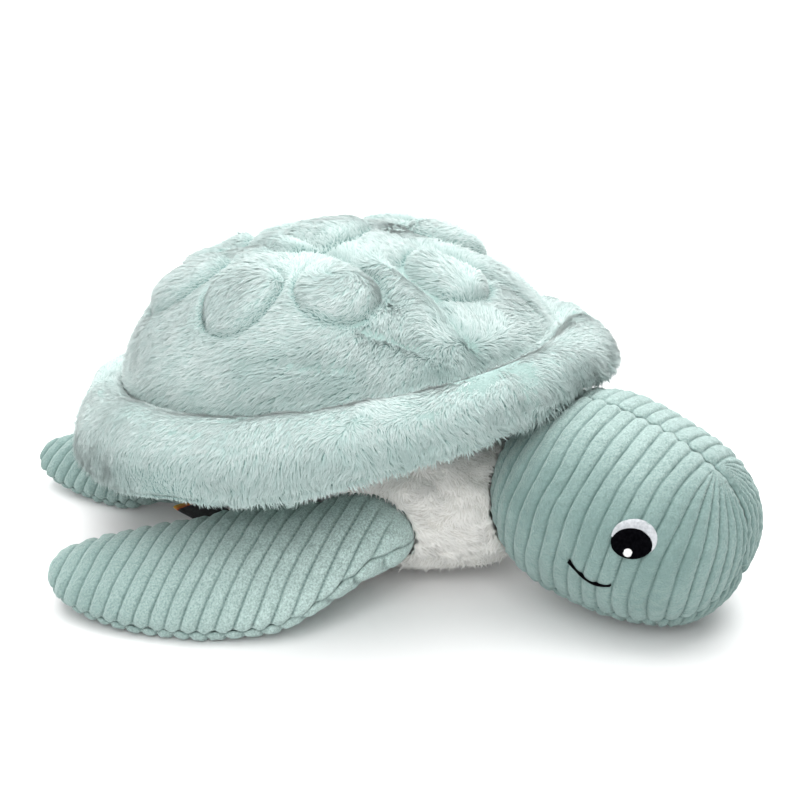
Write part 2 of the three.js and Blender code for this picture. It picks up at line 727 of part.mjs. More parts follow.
function mirrored(pieces) {
  const flip = ([name, [solid, finish]]) => [
    name,
    [solidOfGeometry(placed(geometryOf(solid), mirrorX)), finish],
  ];
  return Object.fromEntries(Object.entries(pieces).map(flip));
}

function framed(matrix) {
  const group = new THREE.Group();
  group.applyMatrix4(matrix);
  return group;
}

function neckRoomIn(frame, room) {
  const seatShape = seat(HEAD_HALF.y + room, HEAD_HALF.x + room, "x", NECK_SEAT_FACETS);
  return solidOfGeometry(placed(seatShape, frame.clone().multiply(headFrame)));
}

function buildTurtle() {
  const turtle = new THREE.Group();
  addPieces(turtle, bodyPieces(neckRoomIn(new THREE.Matrix4(), NECK_EASE)));
  const label = framed(labelFrame());
  addPieces(label, labelPieces());
  turtle.add(label);

  const shell = framed(shellFrame);
  addPieces(shell, shellPieces(neckRoomIn(toShell, NOD_ROOM)));
  turtle.add(shell);

  const head = framed(headFrame);
  addPieces(head, headPieces());
  const face = facePieces();
  addPieces(head, face, (name) => `${name}_right`);
  addPieces(head, mirrored(face), (name) => `${name}_left`);
  turtle.add(head);

  for (const [kind, limb] of Object.entries({ front: FRONT_FLIPPER, rear: REAR_FLIPPER })) {
    const pieces = flipperPieces(limb);
    const right = framed(new THREE.Matrix4().setPosition(limb.root));
    addPieces(right, pieces, (name) => `${kind}_flipper_right_${name}`);
    const left = framed(new THREE.Matrix4().setPosition(limb.root.clone().applyMatrix4(mirrorX)));
    addPieces(left, mirrored(pieces), (name) => `${kind}_flipper_left_${name}`);
    turtle.add(right, left);
  }
  return turtle;
}

// The origin is the middle of the turtle's outline, on the ground.
function centred(turtle) {
  turtle.updateMatrixWorld(true);
  const box = new THREE.Box3().setFromObject(turtle, true);
  turtle.position.y = -(box.min.y + box.max.y) / 2;
  return turtle;
}

export default centred(buildTurtle());
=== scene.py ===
# %% [markdown]
# # A plush turtle, dressed
# A stuffed sea turtle lies on its belly: a quilted plush shell with a thick rim, a white plush body, a
# corduroy head and four corduroy flippers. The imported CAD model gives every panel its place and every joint
# its axis. This lesson sews the cloth over it: ribs, seams, pile and stitches, each as real geometry.

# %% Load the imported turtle
import json

import bpy
import numpy as np
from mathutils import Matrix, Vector


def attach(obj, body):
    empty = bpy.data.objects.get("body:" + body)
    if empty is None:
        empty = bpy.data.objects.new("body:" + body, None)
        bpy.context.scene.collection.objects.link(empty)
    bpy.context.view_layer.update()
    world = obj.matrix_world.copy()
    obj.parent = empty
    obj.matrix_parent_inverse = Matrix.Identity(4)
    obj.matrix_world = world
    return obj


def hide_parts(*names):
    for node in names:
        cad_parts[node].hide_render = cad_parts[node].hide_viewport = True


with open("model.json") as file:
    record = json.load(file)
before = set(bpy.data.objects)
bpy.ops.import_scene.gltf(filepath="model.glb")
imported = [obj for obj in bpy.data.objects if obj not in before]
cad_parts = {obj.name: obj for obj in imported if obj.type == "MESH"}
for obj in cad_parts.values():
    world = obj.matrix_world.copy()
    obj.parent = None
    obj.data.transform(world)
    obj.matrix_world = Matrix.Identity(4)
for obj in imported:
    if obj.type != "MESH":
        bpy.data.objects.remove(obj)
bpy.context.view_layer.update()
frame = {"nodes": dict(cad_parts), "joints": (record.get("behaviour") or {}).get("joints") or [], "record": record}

MM = 0.001
joints = {joint["name"]: np.array(joint["pos_m"]) / MM for joint in frame["joints"]}

# %% [markdown]
# ## Camera
# The photograph looks at the turtle's right cheek from a little above. A long lens from 1.3 m keeps the near
# flipper from growing. The focal length comes from the picture: 2230 pixels for a frame of 800.

# %% Camera
AZIMUTH, ELEVATION, DISTANCE = np.radians(-58), np.radians(23), 1.3
AIM = Vector((0, -0.0081, 0.092))
SENSOR, FOCAL_SHARE = 36, 2230 / 800
away = Vector((np.sin(AZIMUTH) * np.cos(ELEVATION), -np.cos(AZIMUTH) * np.cos(ELEVATION), np.sin(ELEVATION)))
camera = bpy.data.objects.new("camera", bpy.data.cameras.new("camera"))
camera.data.sensor_width = SENSOR
camera.data.lens = SENSOR * FOCAL_SHARE
camera.location = AIM + away * DISTANCE
camera.rotation_mode = "QUATERNION"
camera.rotation_quaternion = (-away).to_track_quat("-Z", "Y")
bpy.context.scene.collection.objects.link(camera)
bpy.context.scene.camera = camera
print("camera at", [round(x, 3) for x in camera.location], "lens", round(camera.data.lens, 1))

# %% [markdown]
# ## Studio
# A white seamless floor, one big soft lamp above, a smaller one behind on the far side, a weak one on the
# camera's side, and an even pale surround. The floor adds a little of its own light for the camera alone,
# so that it goes white while it keeps the turtle's shadow, and the cloth isn't lit any harder for it.


# %% Small helpers for node trees
def socket(sockets, name):
    return next(s for s in sockets if s.name == name and s.enabled)


def feed(tree, target, value):
    """Links another node's output to an input socket, or gives the input a fixed value."""
    if isinstance(value, bpy.types.NodeSocket):
        tree.links.new(value, target)
    else:
        target.default_value = value


def add(tree, kind, inputs=(), **settings):
    """Adds a node with its settings, and feeds its inputs, each given by name or number."""
    made = tree.nodes.new(kind)
    for key, value in settings.items():
        setattr(made, key, value)
    for name, value in dict(inputs).items():
        feed(tree, made.inputs[name] if isinstance(name, int) else socket(made.inputs, name), value)
    return made


def srgb(*levels):
    """A colour from the 0 to 255 levels that a picture shows, as the linear numbers a shader takes."""
    share = np.array(levels) / 255
    linear = np.where(share <= 0.04045, share / 12.92, ((share + 0.055) / 1.055) ** 2.4)
    return (*linear.tolist(), 1.0)


# %% Floor and surround
FLOOR_SIZE = 8.0
FLOOR_WHITE = srgb(240, 240, 240)
SURROUND_LIGHT = 0.3
LIFT_FROM, LIFT_TO = 0.3, 2.2
NEAR_LIFT, FAR_LIFT = 0.06, 0.9


def camera_only(tree):
    """1 for the camera and for what mirrors or glass show, 0 for the light that reaches the cloth."""
    path = add(tree, "ShaderNodeLightPath").outputs
    either = lambda a, b: add(tree, "ShaderNodeMath", {0: a, 1: b}, operation="MAXIMUM").outputs[0]
    return either(either(path["Is Camera Ray"], path["Is Glossy Ray"]), path["Is Transmission Ray"])


def white_floor():
    material = bpy.data.materials.new("white_floor")
    material.use_nodes = True
    tree = material.node_tree
    tree.nodes.clear()
    paper = add(tree, "ShaderNodeBsdfDiffuse", {"Color": FLOOR_WHITE})
    place = add(tree, "ShaderNodeTexCoord").outputs["Object"]
    gone = add(tree, "ShaderNodeVectorMath", {0: place}, operation="LENGTH").outputs["Value"]
    rising = add(tree, "ShaderNodeMapRange", {"Value": gone, "From Min": LIFT_FROM, "From Max": LIFT_TO,
                                              "To Min": NEAR_LIFT, "To Max": FAR_LIFT})  # fmt: skip
    lift = add(tree, "ShaderNodeMath", {0: camera_only(tree), 1: rising.outputs[0]}, operation="MULTIPLY")
    glow = add(tree, "ShaderNodeEmission", {"Color": (1, 1, 1, 1), "Strength": lift.outputs[0]})
    both = add(tree, "ShaderNodeAddShader", {0: paper.outputs[0], 1: glow.outputs[0]})
    add(tree, "ShaderNodeOutputMaterial", {"Surface": both.outputs[0]})
    return material


def pale_surround():
    world = bpy.data.worlds.new("pale_surround")
    world.use_nodes = True
    tree = world.node_tree
    strength = add(
        tree, "ShaderNodeMapRange", {"Value": camera_only(tree), "To Min": SURROUND_LIGHT, "To Max": 1.0}
    )
    background = tree.nodes["Background"]
    background.inputs["Color"].default_value = (1, 1, 1, 1)
    tree.links.new(strength.outputs[0], background.inputs["Strength"])
    return world


half = FLOOR_SIZE / 2
floor_mesh = bpy.data.meshes.new("floor")
corners = [(-half, -half, 0), (half, -half, 0), (half, half, 0), (-half, half, 0)]
floor_mesh.from_pydata(corners, [], [(0, 1, 2, 3)])
floor = bpy.data.objects.new("floor", floor_mesh)
floor.data.materials.append(white_floor())
bpy.context.scene.collection.objects.link(floor)
bpy.context.scene.world = pale_surround()
bpy.context.scene.view_settings.view_transform = "Standard"
print("floor", FLOOR_SIZE, "m, surround at", SURROUND_LIGHT)


# %% Lamps
LAMPS = {
    "key_lamp": {"place": (0.1, 0.1, 2.8), "size": 3.6, "power": 100},
    "back_lamp": {"place": (1.8, 0.8, 1.4), "size": 2.0, "power": 46},
    "fill_lamp": {"place": (-1.5, -0.6, 1.4), "size": 1.5, "power": 25},
}


def softbox(name, place, size, power):
    lamp = bpy.data.objects.new(name, bpy.data.lights.new(name, "AREA"))
    lamp.data.shape = "DISK"
    lamp.data.size = size
    lamp.data.energy = power
    lamp.location = place
    lamp.rotation_mode = "QUATERNION"
    lamp.rotation_quaternion = (Vector(place) - AIM).to_track_quat("Z", "Y")
    bpy.context.scene.collection.objects.link(lamp)


for name, lamp in LAMPS.items():
    softbox(name, **lamp)
print("lamps", list(LAMPS))

# %% [markdown]
# ## Cloth on a form
# Every cover of the turtle is a panel of cloth on a rounded form. A panel could be a smooth surface with a
# painted pattern, but ribs, seams and puckers show on the outline of a soft toy, so each panel is a fine
# grid that is pushed in and out along its own normals, with an inner wall that closes it.

# %% Grids of points
CLOTH = 2.4


def spread_evenly(curve, count):
    """Shares from 0 to 1 that are evenly spaced along a curve, given as a function of the share."""
    fine = np.linspace(0, 1, 4001)
    steps = np.linalg.norm(np.diff(curve(fine), axis=0), axis=1)
    walked = np.concatenate([[0], np.cumsum(steps)])
    return np.interp(np.linspace(0, walked[-1], count), walked, fine)


def unit(vectors):
    return vectors / np.maximum(np.linalg.norm(vectors, axis=-1, keepdims=True), 1e-9)


def grid_normals(points, ring, outward):
    """Normals of a grid of points, also where a side of it shrinks to a pole."""
    if ring:
        padded_points = np.concatenate([points[-1:], points, points[:1]])
        along = np.gradient(padded_points, axis=0)[1:-1]
    else:
        along = np.gradient(points, axis=0)
    normals = np.cross(along, np.gradient(points, axis=1))
    normals *= np.sign((normals * outward).sum() or 1)
    for edge, inside in ((np.s_[0], np.s_[1]), (np.s_[-1], np.s_[-2])):
        if np.ptp(points[edge], axis=0).max() < 1e-6:
            normals[edge] = normals[inside].mean(0)
        if np.ptp(points[:, edge], axis=0).max() < 1e-6:
            normals[:, edge] = normals[:, inside].mean(0)
    return unit(normals)


# %% Meshes from grids
def carry(mesh, values):
    """Gives each point of a mesh its numbers and its ways, by name."""
    for key, value in values.items():
        kind, field = ("FLOAT", "value") if value.ndim == 1 else ("FLOAT_VECTOR", "vector")
        mesh.attributes.new(key, kind, "POINT").data.foreach_set(field, value.astype(np.float32).ravel())


def smoothed(mesh):
    mesh.polygons.foreach_set("use_smooth", np.ones(len(mesh.polygons), bool))


def mesh_of(name, points, faces, values):
    """A smooth mesh in metres from points in millimetres. Faces may repeat a point, as they do at a pole."""
    _, first, shared = np.unique(np.round(points, 4), axis=0, return_index=True, return_inverse=True)
    faces = shared.reshape(-1)[faces]
    kept = faces != np.roll(faces, 1, axis=1)
    whole = kept.sum(1) >= 3
    faces, kept = faces[whole], kept[whole]
    corners = faces[kept].astype(np.int32)
    starts = np.concatenate([[0], np.cumsum(kept.sum(1))[:-1]]).astype(np.int32)
    mesh = bpy.data.meshes.new(name)
    mesh.vertices.add(len(first))
    mesh.vertices.foreach_set("co", (points[first] * MM).astype(np.float32).ravel())
    mesh.loops.add(len(corners))
    mesh.loops.foreach_set("vertex_index", corners)
    mesh.polygons.add(len(starts))
    mesh.polygons.foreach_set("loop_start", starts)
    smoothed(mesh)
    carry(mesh, {key: value[first] for key, value in values.items()})
    mesh.update(calc_edges=True)
    mesh.validate()
    return mesh


def panel_faces(rows, columns, ring):
    """Faces of a grid with rows by columns points, as corners of a flat list."""
    last = rows if ring else rows - 1
    i, j = np.meshgrid(np.arange(last), np.arange(columns - 1), indexing="ij")
    at = lambda di, dj: (((i + di) % rows) * columns + j + dj).ravel()
    return np.stack([at(0, 0), at(1, 0), at(1, 1), at(0, 1)], 1)


def facing_out(points, faces):
    """The faces of a closed form, all turned round where they point inwards."""
    a, b, c, d = (points[faces[:, k]] for k in range(4))
    volume = (a * np.cross(b, c)).sum() + (a * np.cross(c, d)).sum()
    return faces[:, ::-1] if volume < 0 else faces


# %% A panel with an inner wall
INNER_STEP = 6


def cloth_mesh(name, outer, inner, values, ring=False):
    """A closed panel. The inner wall takes only every sixth column, and meets the outer one at both edges."""
    rows, columns = outer.shape[:2]
    kept = np.unique(np.append(np.arange(0, columns, INNER_STEP), columns - 1))
    faces = [panel_faces(rows, columns, ring)]
    base = rows * columns
    faces.append(panel_faces(rows, len(kept), ring)[:, ::-1] + base)
    last = rows if ring else rows - 1
    here, there = np.arange(last), (np.arange(last) + 1) % rows
    for outer_column, inner_column, turn in ((0, 0, 1), (columns - 1, len(kept) - 1, -1)):
        on_outer = lambda row: row * columns + outer_column
        on_inner = lambda row: base + row * len(kept) + inner_column
        edge = np.stack([on_outer(here), on_inner(here), on_inner(there), on_outer(there)], 1)
        faces.append(edge[:, ::turn])
    points = np.concatenate([outer.reshape(-1, 3), inner[:, kept].reshape(-1, 3)])
    extra = rows * len(kept)
    filled = {
        key: np.concatenate([v.reshape(base, *v.shape[2:]), np.zeros((extra, *v.shape[2:]))])
        for key, v in values.items()
    }
    return mesh_of(name, points, facing_out(points, np.concatenate(faces)), filled)


def shown(name, mesh, material):
    """A piece of the turtle: an object at the origin with its place in its mesh."""
    mesh.name = name
    mesh.materials.clear()
    mesh.materials.append(material)
    piece = bpy.data.objects.new(name, mesh)
    bpy.context.scene.collection.objects.link(piece)
    return piece


# %% A slab between two grids
def slab(name, outer, inner, values):
    """A closed slab: two grids of points with a wall round their edge. Both sides carry the same values."""
    rows, columns = outer.shape[:2]
    base = rows * columns
    top = panel_faces(rows, columns, False)
    loop = np.concatenate([
        np.arange(columns), np.arange(1, rows) * columns + columns - 1,
        (rows - 1) * columns + np.arange(columns - 2, -1, -1), np.arange(rows - 2, 0, -1) * columns,
    ])  # fmt: skip
    following = np.roll(loop, -1)
    wall = np.stack([loop, following, following + base, loop + base], 1)
    points = np.concatenate([outer.reshape(-1, 3), inner.reshape(-1, 3)])
    faces = facing_out(points, np.concatenate([top, top[:, ::-1] + base, wall]))
    return mesh_of(name, points, faces, {key: np.tile(value.ravel(), 2) for key, value in values.items()})


# %% Softness
def ripples(points, size, seed, count=14):
    """A smooth random swell between about -1 and 1, whose waves are about size millimetres long."""
    rng = np.random.default_rng(seed)
    ways = unit(rng.normal(size=(count, 3))) * rng.uniform(0.6, 1.5, (count, 1)) * 2 * np.pi / size
    starts = rng.uniform(0, 2 * np.pi, count)
    flat = points.reshape(-1, 3)
    total = np.zeros(len(flat))
    for way, start in zip(ways, starts):
        total += np.sin(flat @ way + start)
    return (total / np.sqrt(count)).reshape(points.shape[:-1])


def swirls(points, size, seed):
    """Smooth random ways, one for each point."""
    return np.stack([ripples(points, size, seed + k) for k in range(3)], -1)


def ease(share):
    share = np.clip(share, 0, 1)
    return share * share * (3 - 2 * share)


def bell(gap, reach):
    """1 where the gap is 0, and soon nothing past the reach."""
    return np.exp(-((gap / reach) ** 2))


# %% [markdown]
# ## Corduroy
# Wide-wale corduroy is a velvet whose pile stands in rounded ribs with a narrow valley between them. The
# ribs are in the mesh. The material adds what is finer: brushed patches where the nap lies another way, a
# grain of cut fibres, painted shade in the valleys and along the seams, painted light on the head's crown
# and the flipper roots, and the soft sheen of a velvet.

# %% Helpers for every cloth
def principled(name, roughness, sheen=0.0, sheen_tint=(1, 1, 1, 1), sheen_roughness=0.5):
    material = bpy.data.materials.new(name)
    material.use_nodes = True
    shader = material.node_tree.nodes["Principled BSDF"]
    shader.inputs["Roughness"].default_value = roughness
    shader.inputs["Specular IOR Level"].default_value = 0.25
    shader.inputs["Sheen Weight"].default_value = sheen
    shader.inputs["Sheen Roughness"].default_value = sheen_roughness
    shader.inputs["Sheen Tint"].default_value = sheen_tint
    return material, material.node_tree, shader


def noise(tree, scale, detail=2.0, rough=0.5):
    """Noise on the piece's own place in metres."""
    place = add(tree, "ShaderNodeTexCoord").outputs["Object"]
    inputs = {"Vector": place, "Scale": scale, "Detail": detail, "Roughness": rough}
    return socket(add(tree, "ShaderNodeTexNoise", inputs).outputs, "Fac")


def blended(tree, share, first, second):
    mix = add(tree, "ShaderNodeMix", data_type="RGBA")
    for name, value in (("Factor", share), ("A", first), ("B", second)):
        feed(tree, socket(mix.inputs, name), value)
    return socket(mix.outputs, "Result")


def ranged(tree, value, low, high, to_low=0.0, to_high=1.0):
    inputs = {"Value": value, "From Min": low, "From Max": high, "To Min": to_low, "To Max": to_high}
    return add(tree, "ShaderNodeMapRange", inputs, clamp=True).outputs[0]


def carried(tree, name):
    """A number that the points of a mesh carry."""
    return add(tree, "ShaderNodeAttribute", attribute_name=name).outputs["Fac"]


def surfaced(tree, shader, colour, height, distance, strength):
    """Gives a shader its colour and the fine bumps of a height."""
    tree.links.new(colour, shader.inputs["Base Color"])
    bump = add(tree, "ShaderNodeBump", {"Height": height, "Distance": distance, "Strength": strength})
    tree.links.new(bump.outputs[0], shader.inputs["Normal"])


# %% Corduroy cloth
CORD_COLOURS = {"rib": srgb(121, 146, 142), "brushed": srgb(138, 162, 158), "painted_valley_shade": srgb(80, 108, 104),
                "painted_light_colour": srgb(212, 234, 229), "grain": srgb(106, 134, 130),
                "sheen": srgb(216, 233, 230)}  # fmt: skip
FUZZ_SCALE, FUZZ_HEIGHT, FUZZ_STRENGTH = 900, 0.0012, 0.9


def corduroy():
    """Ribs in two naps, painted light where a panel carries it, painted shade in the valleys, and a grain of
    fibres.
    """
    material, tree, shader = principled("mint_corduroy", 0.88, 0.8, CORD_COLOURS["sheen"], 0.45)
    patches = ranged(tree, noise(tree, 38, 3, 0.6), 0.4, 0.66)
    nap = blended(tree, patches, CORD_COLOURS["rib"], CORD_COLOURS["brushed"])
    # Painted light: lighter on the head's crown and on the flipper roots, where the shell's shade falls.
    nap = blended(tree, carried(tree, "painted_light"), nap, CORD_COLOURS["painted_light_colour"])
    grain = ranged(tree, noise(tree, 850, 3, 0.75), 0.38, 0.66, 0.0, 0.7)
    speckled = blended(tree, grain, nap, CORD_COLOURS["grain"])
    # Painted shade in the rib valleys and along the seams.
    sunk = ranged(tree, carried(tree, "painted_shade"), 0.25, 1.0)
    colour = blended(tree, sunk, speckled, CORD_COLOURS["painted_valley_shade"])
    fuzz, dents = noise(tree, FUZZ_SCALE, 3, 0.65), noise(tree, 160, 2)
    height = add(tree, "ShaderNodeMath", {0: fuzz, 1: dents}, operation="ADD").outputs[0]
    surfaced(tree, shader, colour, height, FUZZ_HEIGHT, FUZZ_STRENGTH)
    return material


cord_cloth = corduroy()
print("corduroy of", len(cord_cloth.node_tree.nodes), "nodes")


# %% Ribs and seams
SEAM = {"sink": 1.7, "width": 1.9, "shade_width": 1.3, "sag": 0.8, "sag_width": 5.0}
NOSE = {"reach": 1.2, "width": 3.5, "fade": 4.5}
PANEL_SWELL, PANEL_WAVE = 0.35, 34
RIB_PITCH, RIB_RELIEF, RIB_TOP = 9.0, 2.2, 0.3
RIB_SWELL, RIB_WAVE = 0.28, 7
print("ribs", RIB_PITCH, "mm apart and", RIB_RELIEF, "mm deep")


def ribs(phase, share):
    """How high a rib stands, from 0 in its valley to 1 on its back, less where the cloth is gathered."""
    across = np.abs(2 * (phase - np.floor(phase)) - 1)
    back = np.maximum(0, 1 - across**3) ** 0.8
    return 1 - (1 - back) * share


def sewn_corduroy(points, normals, phase, seam, gathered, seed):
    """The cloth's points with its ribs, and their painted shade, darkest deep in a valley and beside the seam.

    Beside the seam the ribs end in round noses that reach a little over it, into the other panel's valleys.
    """
    fade = ease(seam / NOSE["fade"])
    height = ribs(phase, gathered * (0.35 + 0.65 * fade))
    rise = RIB_TOP + RIB_RELIEF * (height - 1) + PANEL_SWELL * ripples(points, PANEL_WAVE, seed + 1)
    rise += RIB_SWELL * ripples(points, RIB_WAVE, seed + 2) * height
    rise -= SEAM["sink"] * bell(seam, SEAM["width"]) + SEAM["sag"] * bell(seam, SEAM["sag_width"])
    # Painted shade in the valleys of the ribs and along the seam.
    painted_shade = np.clip((1 - height) ** 1.2 + 0.7 * bell(seam, SEAM["shade_width"]), 0, 1)
    columns = points.shape[1]
    to_seam = unit(np.gradient(points, axis=1)) * np.where(np.arange(columns) < columns / 2, -1, 1)[:, None]
    reach = -NOSE["reach"] * np.cos(2 * np.pi * phase) * bell(seam, NOSE["width"]) * gathered
    return points + normals * rise[..., None] + to_seam * reach[..., None], painted_shade


# %% [markdown]
# ## Head
# The head is sewn from three corduroy panels: one for each cheek, which meet along the crown, and a strip
# under the chin. The ribs hang like hoops round the head and fan round the snout, so that they run along
# the front seam. The form repeats the CAD head, so the cloth lies on its solids.

# %% Form of the head
HEAD_HALF = np.array([65.0, 58.0, 58.0])
SNOUT_LENGTH, SNOUT_SQUARE = 92.0, 2.7
CHIN_FROM, CHIN_TO = 6 / 16, 10 / 16
HEAD_DOWN = np.radians(14)
NECK = joints["head_nod"]


def turned(axis, angle):
    c, s = np.cos(angle), np.sin(angle)
    return np.array([[1, 0, 0], [0, c, -s], [0, s, c]] if axis == "x" else [[c, 0, s], [0, 1, 0], [-s, 0, c]])


HEAD_TURN = turned("x", HEAD_DOWN)


def head_form(u, v, depth=0.0):
    """A point of the head in its own frame: u from the neck to the snout, v round it from the crown."""
    turn, around = np.pi * u, 2 * np.pi * v
    forward = turn > np.pi / 2
    power = np.where(forward, 2 / SNOUT_SQUARE, 1)
    along = np.abs(np.cos(turn)) ** power
    radius = np.maximum(np.sin(turn), 0) ** power
    y = np.where(forward, -(SNOUT_LENGTH - depth) * along, (HEAD_HALF[1] - depth) * along)
    x = (HEAD_HALF[0] - depth) * radius * np.sin(around)
    z = (HEAD_HALF[2] - depth) * radius * np.cos(around)
    return np.stack([x, y, z], -1)


def from_head(points):
    return points @ HEAD_TURN.T + NECK


print("head", 2 * HEAD_HALF[0], "mm wide, its neck at", NECK.round(1))


# %% Head panels
FAN_FROM = 60.0
FAN_RADIUS = 44.0
HEAD_ROWS = 330
RIBS_CLOSE = 12
# Painted light on the crown, which fades out towards the snout and leaves the snout in painted shade.
CROWN_PAINTED_LIGHT, CROWN_FROM, CROWN_FADE = 0.55, 26, 36
SNOUT_PAINTED_SHADE, SNOUT_FADE = -95, 60


def head_phase(points, stagger):
    """Which rib a point lies on: hoops behind the fan's middle, rays round the snout in front of it."""
    ahead = -points[..., 1] - FAN_FROM
    fan = np.arctan2(np.maximum(ahead, 0), np.abs(points[..., 0]))
    reach = np.hypot(points[..., 0], np.maximum(ahead, 0))
    phase = np.where(ahead < 0, -points[..., 1], FAN_FROM + FAN_RADIUS * fan) / RIB_PITCH
    gathered = np.where(ahead < 0, 1, ease(reach / (0.25 * FAN_RADIUS)))
    return phase + stagger + 0.05 * ripples(points, 42, 10), gathered


def head_panel(name, start, end, columns, stagger, seed):
    u = spread_evenly(lambda share: head_form(share, np.full_like(share, 0.25)), HEAD_ROWS)
    grid_u, grid_v = np.meshgrid(u, np.linspace(start, end, columns), indexing="ij")
    outer = head_form(grid_u, grid_v)
    radius = np.hypot(outer[..., 0], outer[..., 2])
    seam = 2 * np.pi * radius * np.minimum(grid_v - start, end - grid_v)
    share = (grid_v - start) / (end - start)
    phase, gathered = head_phase(outer, stagger[0] + (stagger[1] - stagger[0]) * share)
    normals = grid_normals(outer, False, outer)
    shaped, painted_shade = sewn_corduroy(outer, normals, phase, seam, gathered * ease(radius / RIBS_CLOSE), seed)
    inner = head_form(grid_u, grid_v, CLOTH)
    # Painted light: the crown is lighter, and the snout darker.
    painted_light = CROWN_PAINTED_LIGHT * ease((outer[..., 2] - CROWN_FROM) / CROWN_FADE)
    painted_light = painted_light * ease((outer[..., 1] - SNOUT_PAINTED_SHADE) / SNOUT_FADE)
    mesh = cloth_mesh(name, from_head(shaped), from_head(inner), {"painted_shade": painted_shade, "painted_light": painted_light})
    return shown(name, mesh, cord_cloth)


head_pieces = {
    "head_left_panel": head_panel("head_left_corduroy", 0, CHIN_FROM, 104, (0.5, 0.5), 11),
    "head_chin_panel": head_panel("head_chin_corduroy", CHIN_FROM, CHIN_TO, 60, (1.0, 0.5), 12),
    "head_right_panel": head_panel("head_right_corduroy", CHIN_TO, 1, 104, (0.0, 0.0), 13),
}
print("head", {piece.name: len(piece.data.polygons) for piece in head_pieces.values()})

# %% [markdown]
# ## Embroidered face
# Each eye is a black oval of satin stitches with a pale crescent over its upper front and a white glint, and
# the smile is one curved line of stitches. Satin stitch is thread laid side by side, so Geometry Nodes turn
# a set of short lines into thread, and a thin pad below fills the gaps.

# %% Thread from lines
THREAD_RADIUS, THREAD_SIDES = 0.24, 5


def thread_tree():
    tree = bpy.data.node_groups.new("thread_from_lines", "GeometryNodeTree")
    tree.interface.new_socket(name="Lines", in_out="INPUT", socket_type="NodeSocketGeometry")
    radius = tree.interface.new_socket(name="Thread Radius", in_out="INPUT", socket_type="NodeSocketFloat")
    radius.default_value = THREAD_RADIUS * MM
    tree.interface.new_socket(name="Thread", in_out="INPUT", socket_type="NodeSocketMaterial")
    tree.interface.new_socket(name="Stitches", in_out="OUTPUT", socket_type="NodeSocketGeometry")
    given = add(tree, "NodeGroupInput").outputs
    curve = add(tree, "GeometryNodeMeshToCurve", {"Mesh": given["Lines"]})
    inputs = {"Resolution": THREAD_SIDES, "Radius": given["Thread Radius"]}
    profile = add(tree, "GeometryNodeCurvePrimitiveCircle", inputs)
    inputs = {"Curve": curve.outputs[0], "Profile Curve": profile.outputs[0], "Fill Caps": True}
    tube = add(tree, "GeometryNodeCurveToMesh", inputs)
    real = add(tree, "GeometryNodeRealizeInstances", {"Geometry": tube.outputs[0]})
    dyed = add(tree, "GeometryNodeSetMaterial", {"Geometry": real.outputs[0], "Material": given["Thread"]})
    add(tree, "NodeGroupOutput", {"Stitches": dyed.outputs[0]})
    return tree


def grown(source, tree, settings):
    """The mesh that a node tree makes from a source object, as a plain mesh."""
    ids = {item.name: item.identifier for item in tree.interface.items_tree if item.in_out == "INPUT"}
    modifier = source.modifiers.new("maker", "NODES")
    modifier.node_group = tree
    for key, value in settings.items():
        modifier[ids[key]] = value
    view = bpy.context.evaluated_depsgraph_get()
    mesh = bpy.data.meshes.new_from_object(source.evaluated_get(view))
    source.modifiers.remove(modifier)
    return mesh


def lines_object(lines):
    """A scratch object with one loose polyline for each row of points."""
    count, length = lines.shape[:2]
    mesh = bpy.data.meshes.new("lines")
    starts = np.arange(count * length).reshape(count, length)
    edges = np.stack([starts[:, :-1].ravel(), starts[:, 1:].ravel()], 1)
    mesh.from_pydata((lines.reshape(-1, 3) * MM).tolist(), edges.tolist(), [])
    made = bpy.data.objects.new("lines", mesh)
    bpy.context.scene.collection.objects.link(made)
    return made


make_thread = thread_tree()
print("thread tree of", len(make_thread.nodes), "nodes")


# %% Thread finish
def thread(name, colour, dark, sheen=0.1):
    material, tree, shader = principled(name, 0.55, sheen)
    shader.inputs["Specular IOR Level"].default_value = sheen
    strands = ranged(tree, noise(tree, 700, 2), 0.35, 0.65)
    surfaced(tree, shader, blended(tree, strands, colour, dark), noise(tree, 2600, 2), 0.0002, 0.4)
    return material


black_thread = thread("black_thread", srgb(12, 12, 15), srgb(4, 4, 6), 0.0)
grey_thread = thread("grey_thread", srgb(214, 217, 220), srgb(190, 194, 198))
white_thread = thread("white_thread", srgb(244, 244, 242), srgb(226, 227, 227))
print("threads", [yarn.name for yarn in (black_thread, grey_thread, white_thread)])

# %% Places on the cheek
EYE = {"forward": 46.0, "height": 17.8, "long": 20.4, "tall": 15.8}
CRESCENT = {"start": np.radians(-8), "sweep": np.radians(190), "widest": 4.0}
GLINT = {"forward": 46.0, "height": 13.2, "size": 4.4}
MOUTH = {"forward": 18.0, "long": 25.0, "drop": 6.0, "fall": 3.5, "sag": 4.9, "width": 1.8}
STITCH_PITCH, STITCH_POINTS = 0.42, 9
STITCH_LIFT, PAD_DEPTH, PAD_RISE = 0.55, 1.4, 0.1
OVAL_SLANT = 0.12
print("eye", EYE["long"], "by", EYE["tall"], "mm, mouth", MOUTH["long"], "mm long")


def cheek(forward, height, raised, side):
    """The point of a cheek this far forward and high, raised off the cloth. side is -1 for the right one."""
    along = (np.clip(forward, 0, None) / SNOUT_LENGTH) ** SNOUT_SQUARE
    radius = (1 - along) ** (1 / SNOUT_SQUARE)
    across = np.sqrt(np.maximum(0, radius**2 - (height / HEAD_HALF[2]) ** 2)) * HEAD_HALF[0]
    point = np.stack([side * across, -forward, height], -1)
    return from_head(point * (1 + raised / np.linalg.norm(point, axis=-1))[..., None])


